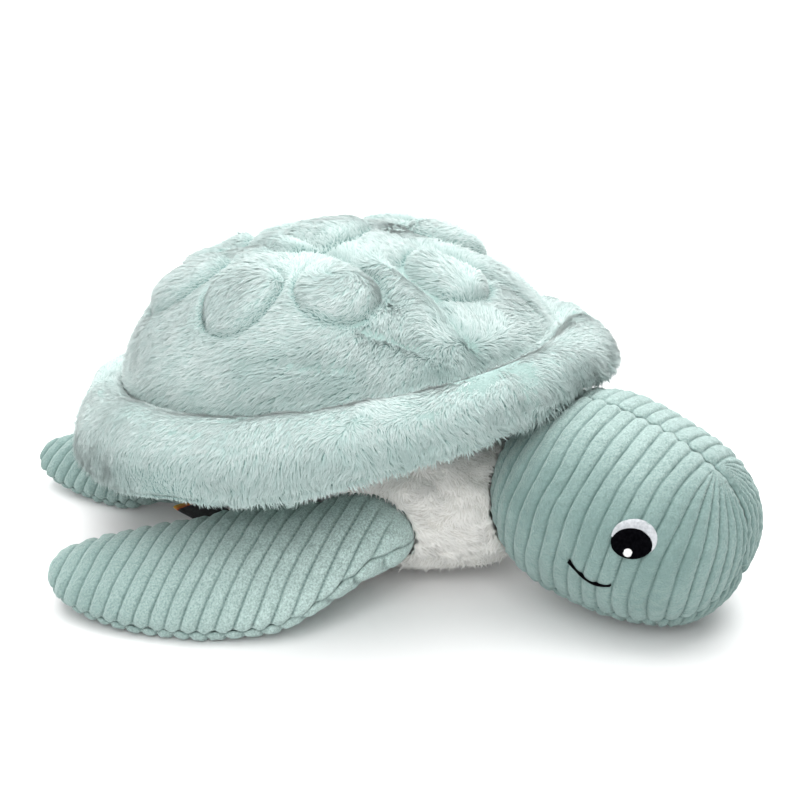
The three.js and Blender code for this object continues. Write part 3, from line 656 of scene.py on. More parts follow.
def satin(ends, side, low, swell):
    """Stitches between two rows of ends, each given as forward and height, with a swell in the middle."""
    t = np.linspace(0, 1, STITCH_POINTS)
    forward = ends[0][0][:, None] * (1 - t) + ends[1][0][:, None] * t
    height = ends[0][1][:, None] * (1 - t) + ends[1][1][:, None] * t
    raised = low + swell * np.sin(np.pi * t) ** 0.6 * np.ones_like(forward)
    return cheek(forward, height, raised, side)


# %% Outlines of the stitched shapes
def oval_ends(forward, height, long, tall, pitch, slant=0.0):
    """Ends of stitches that cross an oval from its lower to its upper edge."""
    across = np.arange(-long / 2 + pitch / 2, long / 2, pitch)
    reach = tall / 2 * np.sqrt(np.maximum(0, 1 - (2 * across / long) ** 2))
    lean = slant * reach
    return [(forward + across - lean, height - reach), (forward + across + lean, height + reach)]


def crescent_ends(pitch):
    length = CRESCENT["sweep"] * (EYE["long"] + EYE["tall"]) / 4
    share = np.linspace(0.02, 0.98, int(length / pitch))
    angle = CRESCENT["start"] + CRESCENT["sweep"] * share
    near, far = -0.4, 0.3 + CRESCENT["widest"] * np.sin(np.pi * share)
    ring = lambda band: (
        EYE["forward"] + (EYE["long"] / 2 + band) * np.cos(angle),
        EYE["height"] + (EYE["tall"] / 2 + band) * np.sin(angle),
    )
    return [ring(near), ring(far)]


def mouth_ends(pitch):
    share = np.linspace(0, 1, int(1.15 * MOUTH["long"] / pitch))
    width = MOUTH["width"] * (0.62 + 0.38 * np.abs(2 * share - 1))
    forward = MOUTH["forward"] + MOUTH["long"] * share
    height = -MOUTH["drop"] - MOUTH["fall"] * share - MOUTH["sag"] * np.sin(np.pi * share**1.2)
    return [(forward - 0.35, height - width / 2), (forward + 0.35, height + width / 2)]


def pad_mesh(name, ends, side, low, high):
    """A thin closed pad under the stitches, as wide as they are."""
    low_row, high_row = np.stack(ends[0], -1), np.stack(ends[1], -1)
    t = np.linspace(0.03, 0.97, 7)[None, :, None]
    flat = low_row[:, None] * (1 - t) + high_row[:, None] * t
    layer = lambda raised: cheek(flat[..., 0], flat[..., 1], np.full(flat.shape[:2], raised), side)
    return slab(name, layer(high), layer(low), {})


# %% Sew the face
import bmesh


def joined(name, meshes, material):
    """Several meshes as one piece."""
    whole = bmesh.new()
    for mesh in meshes:
        whole.from_mesh(mesh)
    mesh = bpy.data.meshes.new(name)
    whole.to_mesh(mesh)
    whole.free()
    return shown(name, mesh, material)


def embroidered(name, ends, side, material, layer, swell):
    """A pad and its satin stitches as one piece."""
    low = STITCH_LIFT + layer
    lines = lines_object(satin(ends, side, low, swell))
    stitches = grown(lines, make_thread, {"Thread Radius": THREAD_RADIUS * MM, "Thread": material})
    bpy.data.objects.remove(lines)
    pad = pad_mesh(name, ends, side, low - PAD_DEPTH, low + PAD_RISE)
    made = joined(name, [pad, stitches], material)
    smoothed(made.data)
    return made


face_pieces = {}
for word, side in (("right", -1), ("left", 1)):
    oval = oval_ends(EYE["forward"], EYE["height"], EYE["long"], EYE["tall"], STITCH_PITCH, OVAL_SLANT)
    glint = oval_ends(GLINT["forward"], GLINT["height"], GLINT["size"], GLINT["size"], STITCH_PITCH)
    shapes = {
        "eye_white": (crescent_ends(STITCH_PITCH), grey_thread, 0.0, 0.35),
        "pupil": (oval, black_thread, 0.15, 0.6),
        "eye_glint": (glint, white_thread, 0.75, 0.35),
        "mouth": (mouth_ends(STITCH_PITCH), black_thread, 0.1, 0.35),
    }
    for kind, (ends, material, layer, swell) in shapes.items():
        stitched = embroidered(f"{kind}_{word}_stitches", ends, side, material, layer, swell)
        face_pieces[f"{kind}_{word}"] = stitched
print("face", {name: len(piece.data.polygons) for name, piece in face_pieces.items()})

# %% [markdown]
# ## Flippers
# A flipper is an upper and a lower corduroy panel sewn along the edge. Its ribs run across the blade at a
# slant and meet at the leading edge, where the two panels' ribs don't line up. The form repeats the CAD
# flipper: a round root under the shell and a blade along a curve that rolls its leading edge down.

# %% Form of a flipper
# The places below are as they were before the CAD model was centred. SHIFT is how far that moved them.
# Of the words, pitch is the distance of the ribs, across their slant in degrees, square how blunt the tip
# is, and brushed how much painted light the flipper takes at its root, which lies in the shell's shade.
SHIFT = NECK[1] + 155.5
FRONT_FLIPPER = {
    "root": np.array([-72.0, -44, 41]), "elbow": np.array([-148.0, -3, 20.5]),
    "tip": np.array([-167.0, 103, 21]), "root_radius": 31.0, "root_rise": 22.0,
    "width": 88.0, "thickness": 42.0, "roll": np.radians(27),
    "square": 2.5, "rows": 300, "columns": 64, "pitch": 9.2, "across": 24, "brushed": 1.0, "seed": 20,
}  # fmt: skip
REAR_FLIPPER = {
    "root": np.array([-31.0, 112, 19.7]), "elbow": np.array([-38.0, 160, 16.7]),
    "tip": np.array([-44.0, 214, 18]), "root_radius": 20.0, "root_rise": 14.0,
    "width": 54.0, "thickness": 27.0, "roll": np.radians(32),
    "square": 2.6, "rows": 180, "columns": 44, "pitch": 8.4, "across": 18, "brushed": 0.36, "seed": 30,
}  # fmt: skip
CAP_SHARE, SWELL_SHARE, ROLL_SHARE = 0.3, 0.32, 0.4


def flipper_form(limb):
    """The right flipper's form in its own frame, whose origin is its root: u from root to tip, v round it."""
    elbow, tip = limb["elbow"] - limb["root"], limb["tip"] - limb["root"]
    bend = lambda t: 2 * (1 - t)[..., None] * t[..., None] * elbow + t[..., None] ** 2 * tip
    fine = bend(np.linspace(0, 1, 400))
    length = np.linalg.norm(np.diff(fine, axis=0), axis=1).sum()

    def form(u, v, depth=0.0):
        past = np.clip((u - CAP_SHARE) / (1 - CAP_SHARE), 0, 1)
        share = np.where(u < CAP_SHARE, 0, np.sin(past * np.pi / 2))
        t = share * (1 - depth / length)
        ahead = (1 - t)[..., None] * elbow + t[..., None] * (tip - elbow)
        ahead[..., 2] = 0
        ahead = unit(ahead)
        side = np.stack([-ahead[..., 1], ahead[..., 0], 0 * t], -1)
        up = np.array([0.0, 0, 1])
        roll = (-limb["roll"] * ease(share / ROLL_SHARE))[..., None]
        outward = side * np.cos(roll) + up * np.sin(roll)
        raised = up * np.cos(roll) - side * np.sin(roll)
        close = np.maximum(0, 1 - share ** limb["square"]) ** (1 / limb["square"])
        swell = ease(share / SWELL_SHARE)
        width = (limb["root_radius"] + (limb["width"] / 2 - limb["root_radius"]) * swell - depth) * close
        rise = (limb["root_rise"] + (limb["thickness"] / 2 - limb["root_rise"]) * swell - depth) * close
        cap = np.where(u < CAP_SHARE, u / CAP_SHARE, 1) * np.pi / 2
        around = 2 * np.pi * v
        return (
            bend(t)
            - ahead * (width * np.cos(cap))[..., None]
            + outward * (width * np.sin(cap) * np.cos(around))[..., None]
            + raised * (rise * np.sin(cap) * np.sin(around))[..., None]
        )

    return form


# %% Flipper panels
PLAIN_ROOT, ROOT_FADE, ROOT_SINK = 0.1, 0.25, 0.4
# Painted light: a flipper is lighter at its root, in the shell's shade, and darker towards its tip.
PAINTED_LIGHT_TIP_LOSS, PAINTED_LIGHT_FADE_FROM, PAINTED_LIGHT_FADE = 0.78, 0.25, 0.55
FLOOR_GAP = 0.3


def rib_way(limb):
    """The way across the ribs, in ribs a millimetre: along the flipper, slanted over its upper face."""
    chord = unit((limb["tip"] - limb["root"]) * np.array([1, 1, 0]))
    inward = np.array([chord[1], -chord[0], 0.0])
    over = inward * np.cos(limb["roll"]) + np.array([0, 0, 1]) * np.sin(limb["roll"])
    slant = np.radians(limb["across"])
    return (np.cos(slant) * chord + np.sin(slant) * over) / limb["pitch"]


def flipper_panel(name, limb, start, end, stagger, seed, mirror):
    form = flipper_form(limb)
    u = spread_evenly(lambda share: form(share, np.full_like(share, 0.25)), limb["rows"])
    grid_u, grid_v = np.meshgrid(u, np.linspace(start, end, limb["columns"]), indexing="ij")
    outer = form(grid_u, grid_v)
    middle = form(grid_u, grid_v, 0.999 * np.minimum(limb["root_rise"], limb["thickness"] / 2))
    steps = np.linalg.norm(np.diff(outer, axis=1), axis=2)
    walked = np.concatenate([np.zeros((len(u), 1)), np.cumsum(steps, axis=1)], axis=1)
    seam = np.minimum(walked, walked[:, -1:] - walked)
    phase = outer @ rib_way(limb) + stagger + 0.04 * ripples(outer, 42, limb["seed"])
    settled = ease((grid_u - PLAIN_ROOT) / ROOT_FADE)
    normals = grid_normals(outer, False, outer - middle)
    sewn, painted_shade = sewn_corduroy(outer, normals, phase, seam, settled, seed)
    shaped = outer + (sewn - outer) * settled[..., None] - ROOT_SINK * normals * (1 - settled)[..., None]
    inner = form(grid_u, grid_v, CLOTH)
    flip = np.array([-1.0 if mirror else 1.0, 1, 1])
    root = (limb["root"] + np.array([0, SHIFT, 0])) * flip
    place = lambda points: points * flip + root
    shaped, inner = place(shaped), place(inner)
    shaped[..., 2] = np.maximum(shaped[..., 2], FLOOR_GAP)
    inner[..., 2] = np.maximum(inner[..., 2], 4 * FLOOR_GAP)
    # Painted light, strongest at the root and fading towards the tip.
    painted_light = limb["brushed"] * (1 - PAINTED_LIGHT_TIP_LOSS * ease((grid_u - PAINTED_LIGHT_FADE_FROM) / PAINTED_LIGHT_FADE))
    return shown(name, cloth_mesh(name, shaped, inner, {"painted_shade": painted_shade, "painted_light": painted_light}), cord_cloth)


# %% Sew the flippers
flipper_pieces = {}
for kind, limb in (("front", FRONT_FLIPPER), ("rear", REAR_FLIPPER)):
    for word, mirror in (("right", False), ("left", True)):
        for face, start, stagger, step in (("upper", 0, 0.0, 1), ("lower", 0.5, 0.5, 3)):
            name, seed = f"{kind}_flipper_{word}_{face}", limb["seed"] + step + 5 * mirror
            flipper_pieces[f"{name}_panel"] = flipper_panel(
                f"{name}_corduroy", limb, start, start + 0.5, stagger, seed, mirror
            )
print("flippers", {piece.name: len(piece.data.polygons) for piece in flipper_pieces.values()})

# %% [markdown]
# ## Shell
# The shell is one plump pillow: a dome quilted into scutes, and a thick roll round it sewn from an upper
# and a lower panel. The skin is made first, with the swells and the stitched grooves, and carries numbers
# for the pile that grows on it later: which way it is brushed, how long it is, and how much painted shade
# it takes where it lies deep.

# %% Frame of the shell
SHELL_TILT, SHELL_LEAN = np.radians(-9.5), np.radians(2.5)
SHELL_PLACE = np.array([0, 16 + SHIFT, 104.0])
DOME_HALF = np.array([122.0, 130.0])
DOME_RISE, DOME_SQUARE, DOME_SLACK = 71.0, 2.1, 0.45
CREASE_HEIGHT, FRONT_LIFT = 8.0, 5.0
print("dome", 2 * DOME_HALF, "mm in plan and", DOME_RISE, "mm high")


SHELL_TURN = turned("y", SHELL_LEAN) @ turned("x", SHELL_TILT)


def from_shell(points):
    return points @ SHELL_TURN.T + SHELL_PLACE


def shell_point(v, outside, z, share=1.0):
    """A point this far outside the shell's base line, or a share of the way in from it."""
    around = 2 * np.pi * v
    across, back = np.sin(around), -np.cos(around)
    out = unit(np.stack([across / DOME_HALF[0], back / DOME_HALF[1]], -1))
    x = DOME_HALF[0] * across * share + out[..., 0] * outside
    y = DOME_HALF[1] * back * share + out[..., 1] * outside
    lift = FRONT_LIFT * np.maximum(0, -y / DOME_HALF[1]) ** 2
    return np.stack([x, y, z + lift], -1)


def clear_of_neck(points, room):
    """Pushes points out of the round space that the back of the head turns in."""
    gone = points - NECK
    reach = np.linalg.norm(gone / (HEAD_HALF + room), axis=-1, keepdims=True)
    return NECK + gone * np.maximum(1, 1 / np.maximum(reach, 1e-6))


# %% Quilting
# A scute is its middle across and back, then its half width and half length. One beside the spine is a
# pair, left and right. Places and sizes, also of the folds, are shares of the half sizes of the dome.
SCUTES = [(0, -0.62, 0.2, 0.17), (0, 0.02, 0.28, 0.21), (0, 0.6, 0.21, 0.17),
          (0.48, -0.36, 0.2, 0.18), (0.65, 0.03, 0.19, 0.185), (0.43, 0.47, 0.19, 0.2)]  # fmt: skip
SPINE_FOLD = [(0, 0.57), (-0.08, 0.36), (-0.1, 0.06), (-0.24, -0.18), (-0.3, -0.42), (-0.39, -0.57)]
SIDE_FOLDS = [
    [(0.13, -0.45), (0.18, -0.64), (0.28, -0.79), (0.3, -0.93)],
    [(0.61, -0.55), (0.55, -0.69), (0.46, -0.86)],
    [(0.93, -0.12), (0.87, -0.36), (0.76, -0.6)],
]
SCUTE_RISE, SCUTE_FLAT, SCUTE_SIDE, SCUTE_HALF = 5.0, 0.62, 0.58, 0.19
PUFF_RISE, PUFF_EDGE, PLAIN_EDGE = 4.5, 0.4, 0.06
FOLD_REACH, FOLD_DEPTH = 9.0, 0.85
STITCH_SINK, STITCH_REACH = 3.0, 2.2
print("quilted into", sum(2 if across else 1 for across, *_ in SCUTES), "scutes")


def fold_gap(x, y, line):
    """Millimetres from places on the dome's plan to a line, both given as shares of its half sizes."""
    place = np.stack([x, y], -1) * DOME_HALF
    ends = np.array(line) * DOME_HALF
    gaps = []
    for start, end in zip(ends[:-1], ends[1:]):
        way = end - start
        share = np.clip(((place - start) @ way) / (way @ way), 0, 1)
        gaps.append(np.linalg.norm(place - start - share[..., None] * way, axis=-1))
    return np.min(gaps, axis=0)


def quilting(share, v):
    """How far the quilted cover stands out, and how near a place is to a stitched line and to a fold."""
    x, y = share * np.sin(2 * np.pi * v), -share * np.cos(2 * np.pi * v)
    side = np.abs(x)
    reach = np.min([np.hypot((side - a) / wide, (y - b) / long) for a, b, wide, long in SCUTES], axis=0)
    gap = np.min([fold_gap(x, y, SPINE_FOLD), *(fold_gap(side, y, line) for line in SIDE_FOLDS)], axis=0)
    folded = bell(gap, FOLD_REACH)
    scute = SCUTE_RISE * (1 - ease((reach - SCUTE_FLAT) / SCUTE_SIDE))
    puff = PUFF_RISE * ease((1 - share) / PUFF_EDGE)
    stitched = bell((reach - 1) * SCUTE_HALF * DOME_HALF[0], STITCH_REACH)
    inside = ease((1 - share) / PLAIN_EDGE)
    sunk = np.maximum(stitched, 0.6 * bell(gap, 1.3 * STITCH_REACH)) * inside
    return (puff + scute) * (1 - FOLD_DEPTH * folded) - STITCH_SINK * sunk, stitched * inside, folded


def dome_form(u, v, depth=0.0):
    turn = np.pi / 2 * u
    power = 2 / DOME_SQUARE
    share = np.sin(turn) ** power
    slack = 1 - DOME_SLACK * np.maximum(0, share * np.cos(2 * np.pi * v)) ** 2
    rise = (DOME_RISE - depth) * slack * np.maximum(np.cos(turn), 0) ** power
    return shell_point(v, 0, CREASE_HEIGHT + rise, share * (1 - depth / DOME_HALF[0])), share


# %% [markdown]
# ## Plush
# The shell's cloth is a plush: a knitted back with soft fibres 5 or 6 mm long that are brushed down and
# clump into small tufts. Flat shading can't give that edge, so the pile is grown: Geometry Nodes scatter
# points over the skin and stand a slim closed blade on each, leaned along the brushed way, pulled towards
# its clump and a little disordered. Blender's hair would leave no mesh to export.

# %% Skin below the pile
# The root colour is painted shade deep in the pile.
PLUSH = {"root": srgb(148, 176, 172), "body": srgb(197, 214, 211), "tip": srgb(225, 234, 232)}
PILE_SINK = 1.6


def plush_skin(name, colour, dark, groove):
    material, tree, shader = principled(name, 0.95, 0.3, colour)
    # The skin is darker than the pile: painted shade between the blades, darker still where it carries painted
    # shade.
    cloth = blended(tree, ranged(tree, noise(tree, 90, 3), 0.35, 0.65), colour, dark)
    cloth = blended(tree, carried(tree, "painted_shade"), cloth, groove)
    surfaced(tree, shader, cloth, noise(tree, 700, 3), 0.001, 0.8)
    return material


def pile_finish(name, sheen_tint):
    material, tree, shader = principled(name, 0.85, 0.45, sheen_tint, 0.5)
    shade = add(tree, "ShaderNodeVertexColor", layer_name="pile_colour").outputs["Color"]
    tree.links.new(shade, shader.inputs["Base Color"])
    return material


# Skin colours darker than the pile's, as painted shade; the third is the painted shade of grooves and folds.
mint_skin = plush_skin("mint_plush_back_painted_shade", srgb(160, 184, 180), srgb(146, 172, 167), srgb(104, 134, 130))
mint_pile = pile_finish("mint_plush_pile", PLUSH["tip"])
print("plush", mint_skin.name, mint_pile.name)


# %% One blade
def math(tree, operation, a, b):
    return add(tree, "ShaderNodeMath", {0: a, 1: b}, operation=operation).outputs[0]


def vector(tree, operation, a, b):
    second = "Scale" if operation == "SCALE" else 1
    return add(tree, "ShaderNodeVectorMath", {0: a, second: b}, operation=operation).outputs[0]


def blade_shape(tree, given):
    """A slim cone of three sides, flattened and bent over, that marks how far along it each point lies."""
    half_width = math(tree, "MULTIPLY", given["Width"], 0.5)
    blade = add(
        tree, "GeometryNodeMeshCone",
        {"Vertices": 3, "Side Segments": given["Segments"], "Fill Segments": 1, "Radius Top": 0.0,
         "Radius Bottom": half_width, "Depth": given["Length"]},
    )  # fmt: skip
    flattened = add(
        tree, "GeometryNodeTransform",
        {"Geometry": socket(blade.outputs, "Mesh"), "Rotation": (0, 0, np.pi), "Scale": (0.35, 1.2, 1)},
    )  # fmt: skip
    place = add(tree, "GeometryNodeInputPosition").outputs[0]
    height = add(tree, "ShaderNodeSeparateXYZ", {0: place}).outputs[2]
    along = math(tree, "DIVIDE", height, given["Length"])
    marked = add(
        tree, "GeometryNodeStoreNamedAttribute",
        {"Geometry": flattened.outputs[0], "Name": "along", "Value": along},
        data_type="FLOAT", domain="POINT",
    )  # fmt: skip
    most = math(tree, "MULTIPLY", given["Curl"], given["Length"])
    sag = math(tree, "MULTIPLY", math(tree, "MULTIPLY", along, along), most)
    offset = add(tree, "ShaderNodeCombineXYZ", {"X": math(tree, "MULTIPLY", sag, -1.0)}).outputs[0]
    return add(tree, "GeometryNodeSetPosition", {"Geometry": marked.outputs[0], "Offset": offset}).outputs[0]


# %% Way of a blade
def named(tree, name, kind):
    found = add(tree, "GeometryNodeInputNamedAttribute", {"Name": name}, data_type=kind)
    return socket(found.outputs, "Attribute")


def blade_way(tree, given, place, normal):
    """How a blade is turned: brushed along the nap, raised a little, pulled to its clump and disordered."""
    scale = math(tree, "DIVIDE", 1.0, given["Clump Size"])
    cells = add(tree, "ShaderNodeTexVoronoi", {"Vector": place, "Scale": scale}, voronoi_dimensions="3D")
    gap = vector(tree, "SUBTRACT", cells.outputs["Position"], place)
    level = vector(tree, "SUBTRACT", gap, vector(tree, "PROJECT", gap, normal))
    pull = vector(tree, "SCALE", level, math(tree, "DIVIDE", given["Clump Pull"], given["Clump Size"]))
    chance = add(
        tree, "FunctionNodeRandomValue", {"Min": (-1, -1, -1), "Max": (1, 1, 1), "Seed": given["Seed"]},
        data_type="FLOAT_VECTOR",
    )  # fmt: skip
    stray = vector(tree, "SCALE", socket(chance.outputs, "Value"), given["Disorder"])
    raised = vector(tree, "SCALE", normal, named(tree, "stand", "FLOAT"))
    brushed = vector(tree, "ADD", named(tree, "nap", "FLOAT_VECTOR"), raised)
    way = vector(tree, "ADD", vector(tree, "ADD", brushed, pull), stray)
    upright = add(tree, "FunctionNodeAlignRotationToVector", {"Vector": way}, axis="Z")
    return add(
        tree, "FunctionNodeAlignRotationToVector", {"Rotation": upright.outputs[0], "Vector": normal},
        axis="X", pivot_axis="Z",
    ).outputs[0]  # fmt: skip


# %% Pile tree
PILE_SIZES = {"Density": 9e5, "Length": 0.008, "Width": 0.0009, "Clump Size": 0.005, "Clump Pull": 0.5,
              "Disorder": 0.3, "Curl": 0.1}  # fmt: skip
SHORTEST, LONGEST = 0.65, 1.25


def pile_tree():
    """Scatters roots over a skin and stands a blade on each, which keeps its root and the skin's normal."""
    tree = bpy.data.node_groups.new("grow_pile", "GeometryNodeTree")
    tree.interface.new_socket(name="Skin", in_out="INPUT", socket_type="NodeSocketGeometry")
    counts = {"Segments": 1, "Seed": 1}
    for name, value in {**PILE_SIZES, **counts}.items():
        kind = "NodeSocketInt" if name in counts else "NodeSocketFloat"
        tree.interface.new_socket(name=name, in_out="INPUT", socket_type=kind).default_value = value
    tree.interface.new_socket(name="Pile", in_out="INPUT", socket_type="NodeSocketMaterial")
    tree.interface.new_socket(name="Blades", in_out="OUTPUT", socket_type="NodeSocketGeometry")
    given = add(tree, "NodeGroupInput").outputs
    density = math(tree, "MULTIPLY", given["Density"], named(tree, "thick", "FLOAT"))
    roots = add(
        tree, "GeometryNodeDistributePointsOnFaces",
        {"Mesh": given["Skin"], "Density": density, "Seed": given["Seed"]}, distribute_method="RANDOM",
    )  # fmt: skip
    place = add(tree, "GeometryNodeInputPosition").outputs[0]
    rooted = roots.outputs["Points"]
    for name, value in (("lay", roots.outputs["Normal"]), ("root", place)):
        rooted = add(
            tree, "GeometryNodeStoreNamedAttribute", {"Geometry": rooted, "Name": name, "Value": value},
            data_type="FLOAT_VECTOR", domain="POINT",
        ).outputs[0]  # fmt: skip
    inputs = {"Min": SHORTEST, "Max": LONGEST, "Seed": given["Seed"]}
    uneven = add(tree, "FunctionNodeRandomValue", inputs, data_type="FLOAT")
    size = math(tree, "MULTIPLY", socket(uneven.outputs, "Value"), named(tree, "long", "FLOAT"))
    scale = add(tree, "ShaderNodeCombineXYZ", {"X": 1.0, "Y": 1.0, "Z": size}).outputs[0]
    way = blade_way(tree, given, place, roots.outputs["Normal"])
    stood = add(
        tree, "GeometryNodeInstanceOnPoints",
        {"Points": rooted, "Instance": blade_shape(tree, given), "Rotation": way, "Scale": scale},
    )  # fmt: skip
    real = add(tree, "GeometryNodeRealizeInstances", {"Geometry": stood.outputs[0]})
    dyed = add(tree, "GeometryNodeSetMaterial", {"Geometry": real.outputs[0], "Material": given["Pile"]})
    add(tree, "NodeGroupOutput", {"Blades": dyed.outputs[0]})
    return tree


grow_pile = pile_tree()
print("pile tree of", len(grow_pile.nodes), "nodes")


# %% Colour the blades, with painted shade at their roots
ROOT_SHARE, PAINTED_SHADE_SHARE = 0.25, 0.45
BLADE_LAY = 0.75
PILE_LOWEST = 0.25


def read(rows, field, width=3):
    """One field of many points or values at once."""
    found = np.empty(len(rows) * width, np.float32)
    rows.foreach_get(field, found)
    return found.reshape(-1, width) if width > 1 else found


def mixed(first, second, share):
    return np.asarray(first)[None] * (1 - share[:, None]) + np.asarray(second)[None] * share[:, None]


def blade_colours(along, root, sunk, colours, seed):
    """Painted shade at the roots and where the skin carries it, pale at the tips, and uneven from tuft to tuft."""
    tone = 0.5 + 0.22 * ripples(root, 26, seed + 1) + 0.24 * ripples(root, 7, seed + 2)
    tone += np.repeat(np.random.default_rng(seed).normal(0, 0.12, len(root) // 4 + 1), 4)[: len(root)]
    body = mixed(colours["root"], colours["body"], np.clip(ROOT_SHARE + 1.1 * along, 0, 1))
    tipped = np.clip(tone * along, 0, 1)[:, None]
    shade = body * (1 - tipped) + np.asarray(colours["tip"]) * tipped
    # Painted shade where the skin carries it.
    painted_shade_tint = np.divide(colours["root"], colours["body"])
    return mixed([1, 1, 1, 1], painted_shade_tint, np.clip(sunk, 0, 1) * PAINTED_SHADE_SHARE) * shade


# %% Grow a pile on a skin
def pile(name, skin, material, colours, seed, **settings):
    """Grows the pile of a skin as its own piece, coloured from root to tip with painted shade, and lit like the
    cloth it covers.
    """
    mesh = grown(skin, grow_pile, {"Seed": seed, "Pile": material, **settings})
    # sunk is the skin's painted shade.
    along, sunk = (read(mesh.attributes[key].data, "value", 1) for key in ("along", "painted_shade"))
    root, lay = (read(mesh.attributes[key].data, "vector") for key in ("root", "lay"))
    shade = blade_colours(along, root / MM, sunk, colours, seed)
    colours_with_painted_shade = mesh.color_attributes.new("pile_colour", "FLOAT_COLOR", "POINT")
    colours_with_painted_shade.data.foreach_set("color", shade.astype(np.float32).ravel())
    points = read(mesh.vertices, "co")
    points[:, 2] = np.maximum(points[:, 2], PILE_LOWEST * MM)
    mesh.vertices.foreach_set("co", points.ravel())
    for spare in ("lay", "root", "nap", "stand", "long", "thick", "painted_shade", "along"):
        mesh.attributes.remove(mesh.attributes[spare])
    smoothed(mesh)
    facing = read(mesh.vertices, "normal")
    mesh.normals_split_custom_set_from_vertices(unit(BLADE_LAY * unit(lay) + (1 - BLADE_LAY) * facing))
    piece = shown(name, mesh, material)
    return piece


# %% Dome skin
DOME_COLUMNS, DOME_ROWS = 380, 92
DOME_HEART = np.array([0, 0, -40.0])
DOME_BRUSHED = np.array([0.2, 0.6, -0.1])
SHORT_NAP = {"Length": 0.0055, "Width": 0.00087, "Clump Pull": 0.42, "Disorder": 0.24, "Curl": 0.1}


def brushed_way(normals, way):
    """The part of a way that lies along the skin."""
    way = np.broadcast_to(way, normals.shape)
    return unit(way - (way * normals).sum(-1, keepdims=True) * normals)


def dome_skin():
    """The quilted cover. Its pile is brushed outwards and to the rear, short in the stitched lines."""
    v = np.linspace(0, 1, DOME_COLUMNS, endpoint=False)
    u = spread_evenly(lambda share: dome_form(share, np.full_like(share, 0.25))[0], DOME_ROWS)
    grid_v, grid_u = np.meshgrid(v, u, indexing="ij")
    outer, share = dome_form(grid_u, grid_v)
    inner = dome_form(grid_u, grid_v, CLOTH)[0]
    crease = 1 - grid_u
    rise, groove, folded = quilting(share, grid_v)
    rise += (0.5 * ripples(outer, 55, 41) + 0.35 * ripples(outer, 20, 42) - PILE_SINK) * ease(crease / 0.08)
    shaped = outer + grid_normals(outer, True, outer - DOME_HEART) * rise[..., None]
    lying = grid_normals(shaped, True, outer - DOME_HEART)
    down = shaped * np.append(0.9 / DOME_HALF, 0) + DOME_BRUSHED + 0.35 * swirls(outer, 75, 43)
    values = {
        # Painted shade in the stitched lines, in the folds and in the crease with the roll.
        "painted_shade": np.clip(groove + 0.8 * folded + 0.6 * bell(crease, 0.035), 0, 1),
        "thick": np.ones_like(share),
        "long": 0.9 + 0.12 * ripples(outer, 30, 46) - 0.45 * groove**0.25,
        "stand": 0.17 + 0.2 * share**2 + 0.05 * ripples(outer, 40, 47) + 0.2 * np.maximum(folded, groove)
        + 0.1 * bell(crease, 0.05),
        "nap": brushed_way(lying, down) @ SHELL_TURN.T,
    }  # fmt: skip
    mesh = cloth_mesh("shell_dome_plush", from_shell(shaped), from_shell(inner), values, ring=True)
    return shown("shell_dome_plush", mesh, mint_skin)


dome = dome_skin()
dome_pile = pile("shell_dome_pile", dome, mint_pile, PLUSH, 51, Density=1.5e6, **SHORT_NAP)
print("dome", len(dome.data.polygons), "faces and", len(dome_pile.data.polygons) // 4, "blades")

# %% [markdown]
# ## Rim
# The roll round the shell. Its upper panel is brushed smooth towards the outside, and along its lower edge
# the pile parts and hangs down in longer tufts over the seam with the lower panel.

# %% Section of the rim
RIM_SECTION = np.array([[0.01, 0], [0.28, 0.1], [0.62, 0.02], [0.88, -0.3], [0.99, -0.66], [0.92, -1.0],
                        [0.66, -1.2], [0.3, -1.12], [0.01, -0.88]]) * np.array([38.0, 42.0])  # fmt: skip
RIM_SEAM, RIM_TURN, RIM_FRONT, RIM_REAR = 0.66, np.radians(20), 0.68, 0.84
EASE, STEP = 0.3, 1e-3
print("roll", np.ptp(RIM_SECTION, axis=0).round(1), "mm wide and high at its sides")


def through(points, t):
    """A smooth curve through points, at shares from 0 to 1."""
    place = np.clip(t, 0, 1) * (len(points) - 1)
    at = np.minimum(place.astype(int), len(points) - 2)
    w = (place - at)[..., None]
    near = lambda k: points[np.clip(at + k, 0, len(points) - 1)]
    v0, v1 = (near(1) - near(-1)) / 2, (near(2) - near(0)) / 2
    a, b = near(0), near(1)
    return (2 * a - 2 * b + v0 + v1) * w**3 + (3 * b - 3 * a - 2 * v0 - v1) * w**2 + v0 * w + a


def rim_form(u, v, depth=0.0):
    """u round the shell from its front, v round the roll from the crease."""
    before = through(RIM_SECTION, np.maximum(v - STEP, 0))
    along = unit(through(RIM_SECTION, np.minimum(v + STEP, 1)) - before)
    section = through(RIM_SECTION, v) + depth * np.stack([along[..., 1], -along[..., 0]], -1)
    ahead = np.cos(2 * np.pi * u)
    front, rear = ((1 + ahead) / 2) ** 2, ((1 - ahead) / 2) ** 2
    c, s = np.cos(RIM_TURN * front), np.sin(RIM_TURN * front)
    x, y = section[..., 0] * c - section[..., 1] * s, section[..., 0] * s + section[..., 1] * c
    size = (1 + (RIM_FRONT - 1) * front) * (1 + (RIM_REAR - 1) * rear)
    return shell_point(u, EASE + np.maximum(0, x * size), CREASE_HEIGHT - EASE + y * size)


# %% Rim skins
NOD_ROOM = 4.4
RIM_COLUMNS, UPPER_ROWS, LOWER_ROWS = 420, 40, 26
SEAM_GAP = 0.002
HANG_FROM, HANG_FADE = 0.34, 0.2
LABEL_AROUND = 0.728


def beside_head(points):
    """A place of the shell's own frame in the turtle's, clear of the head at both ends of its nod."""
    return clear_of_neck(from_shell(points), NOD_ROOM)


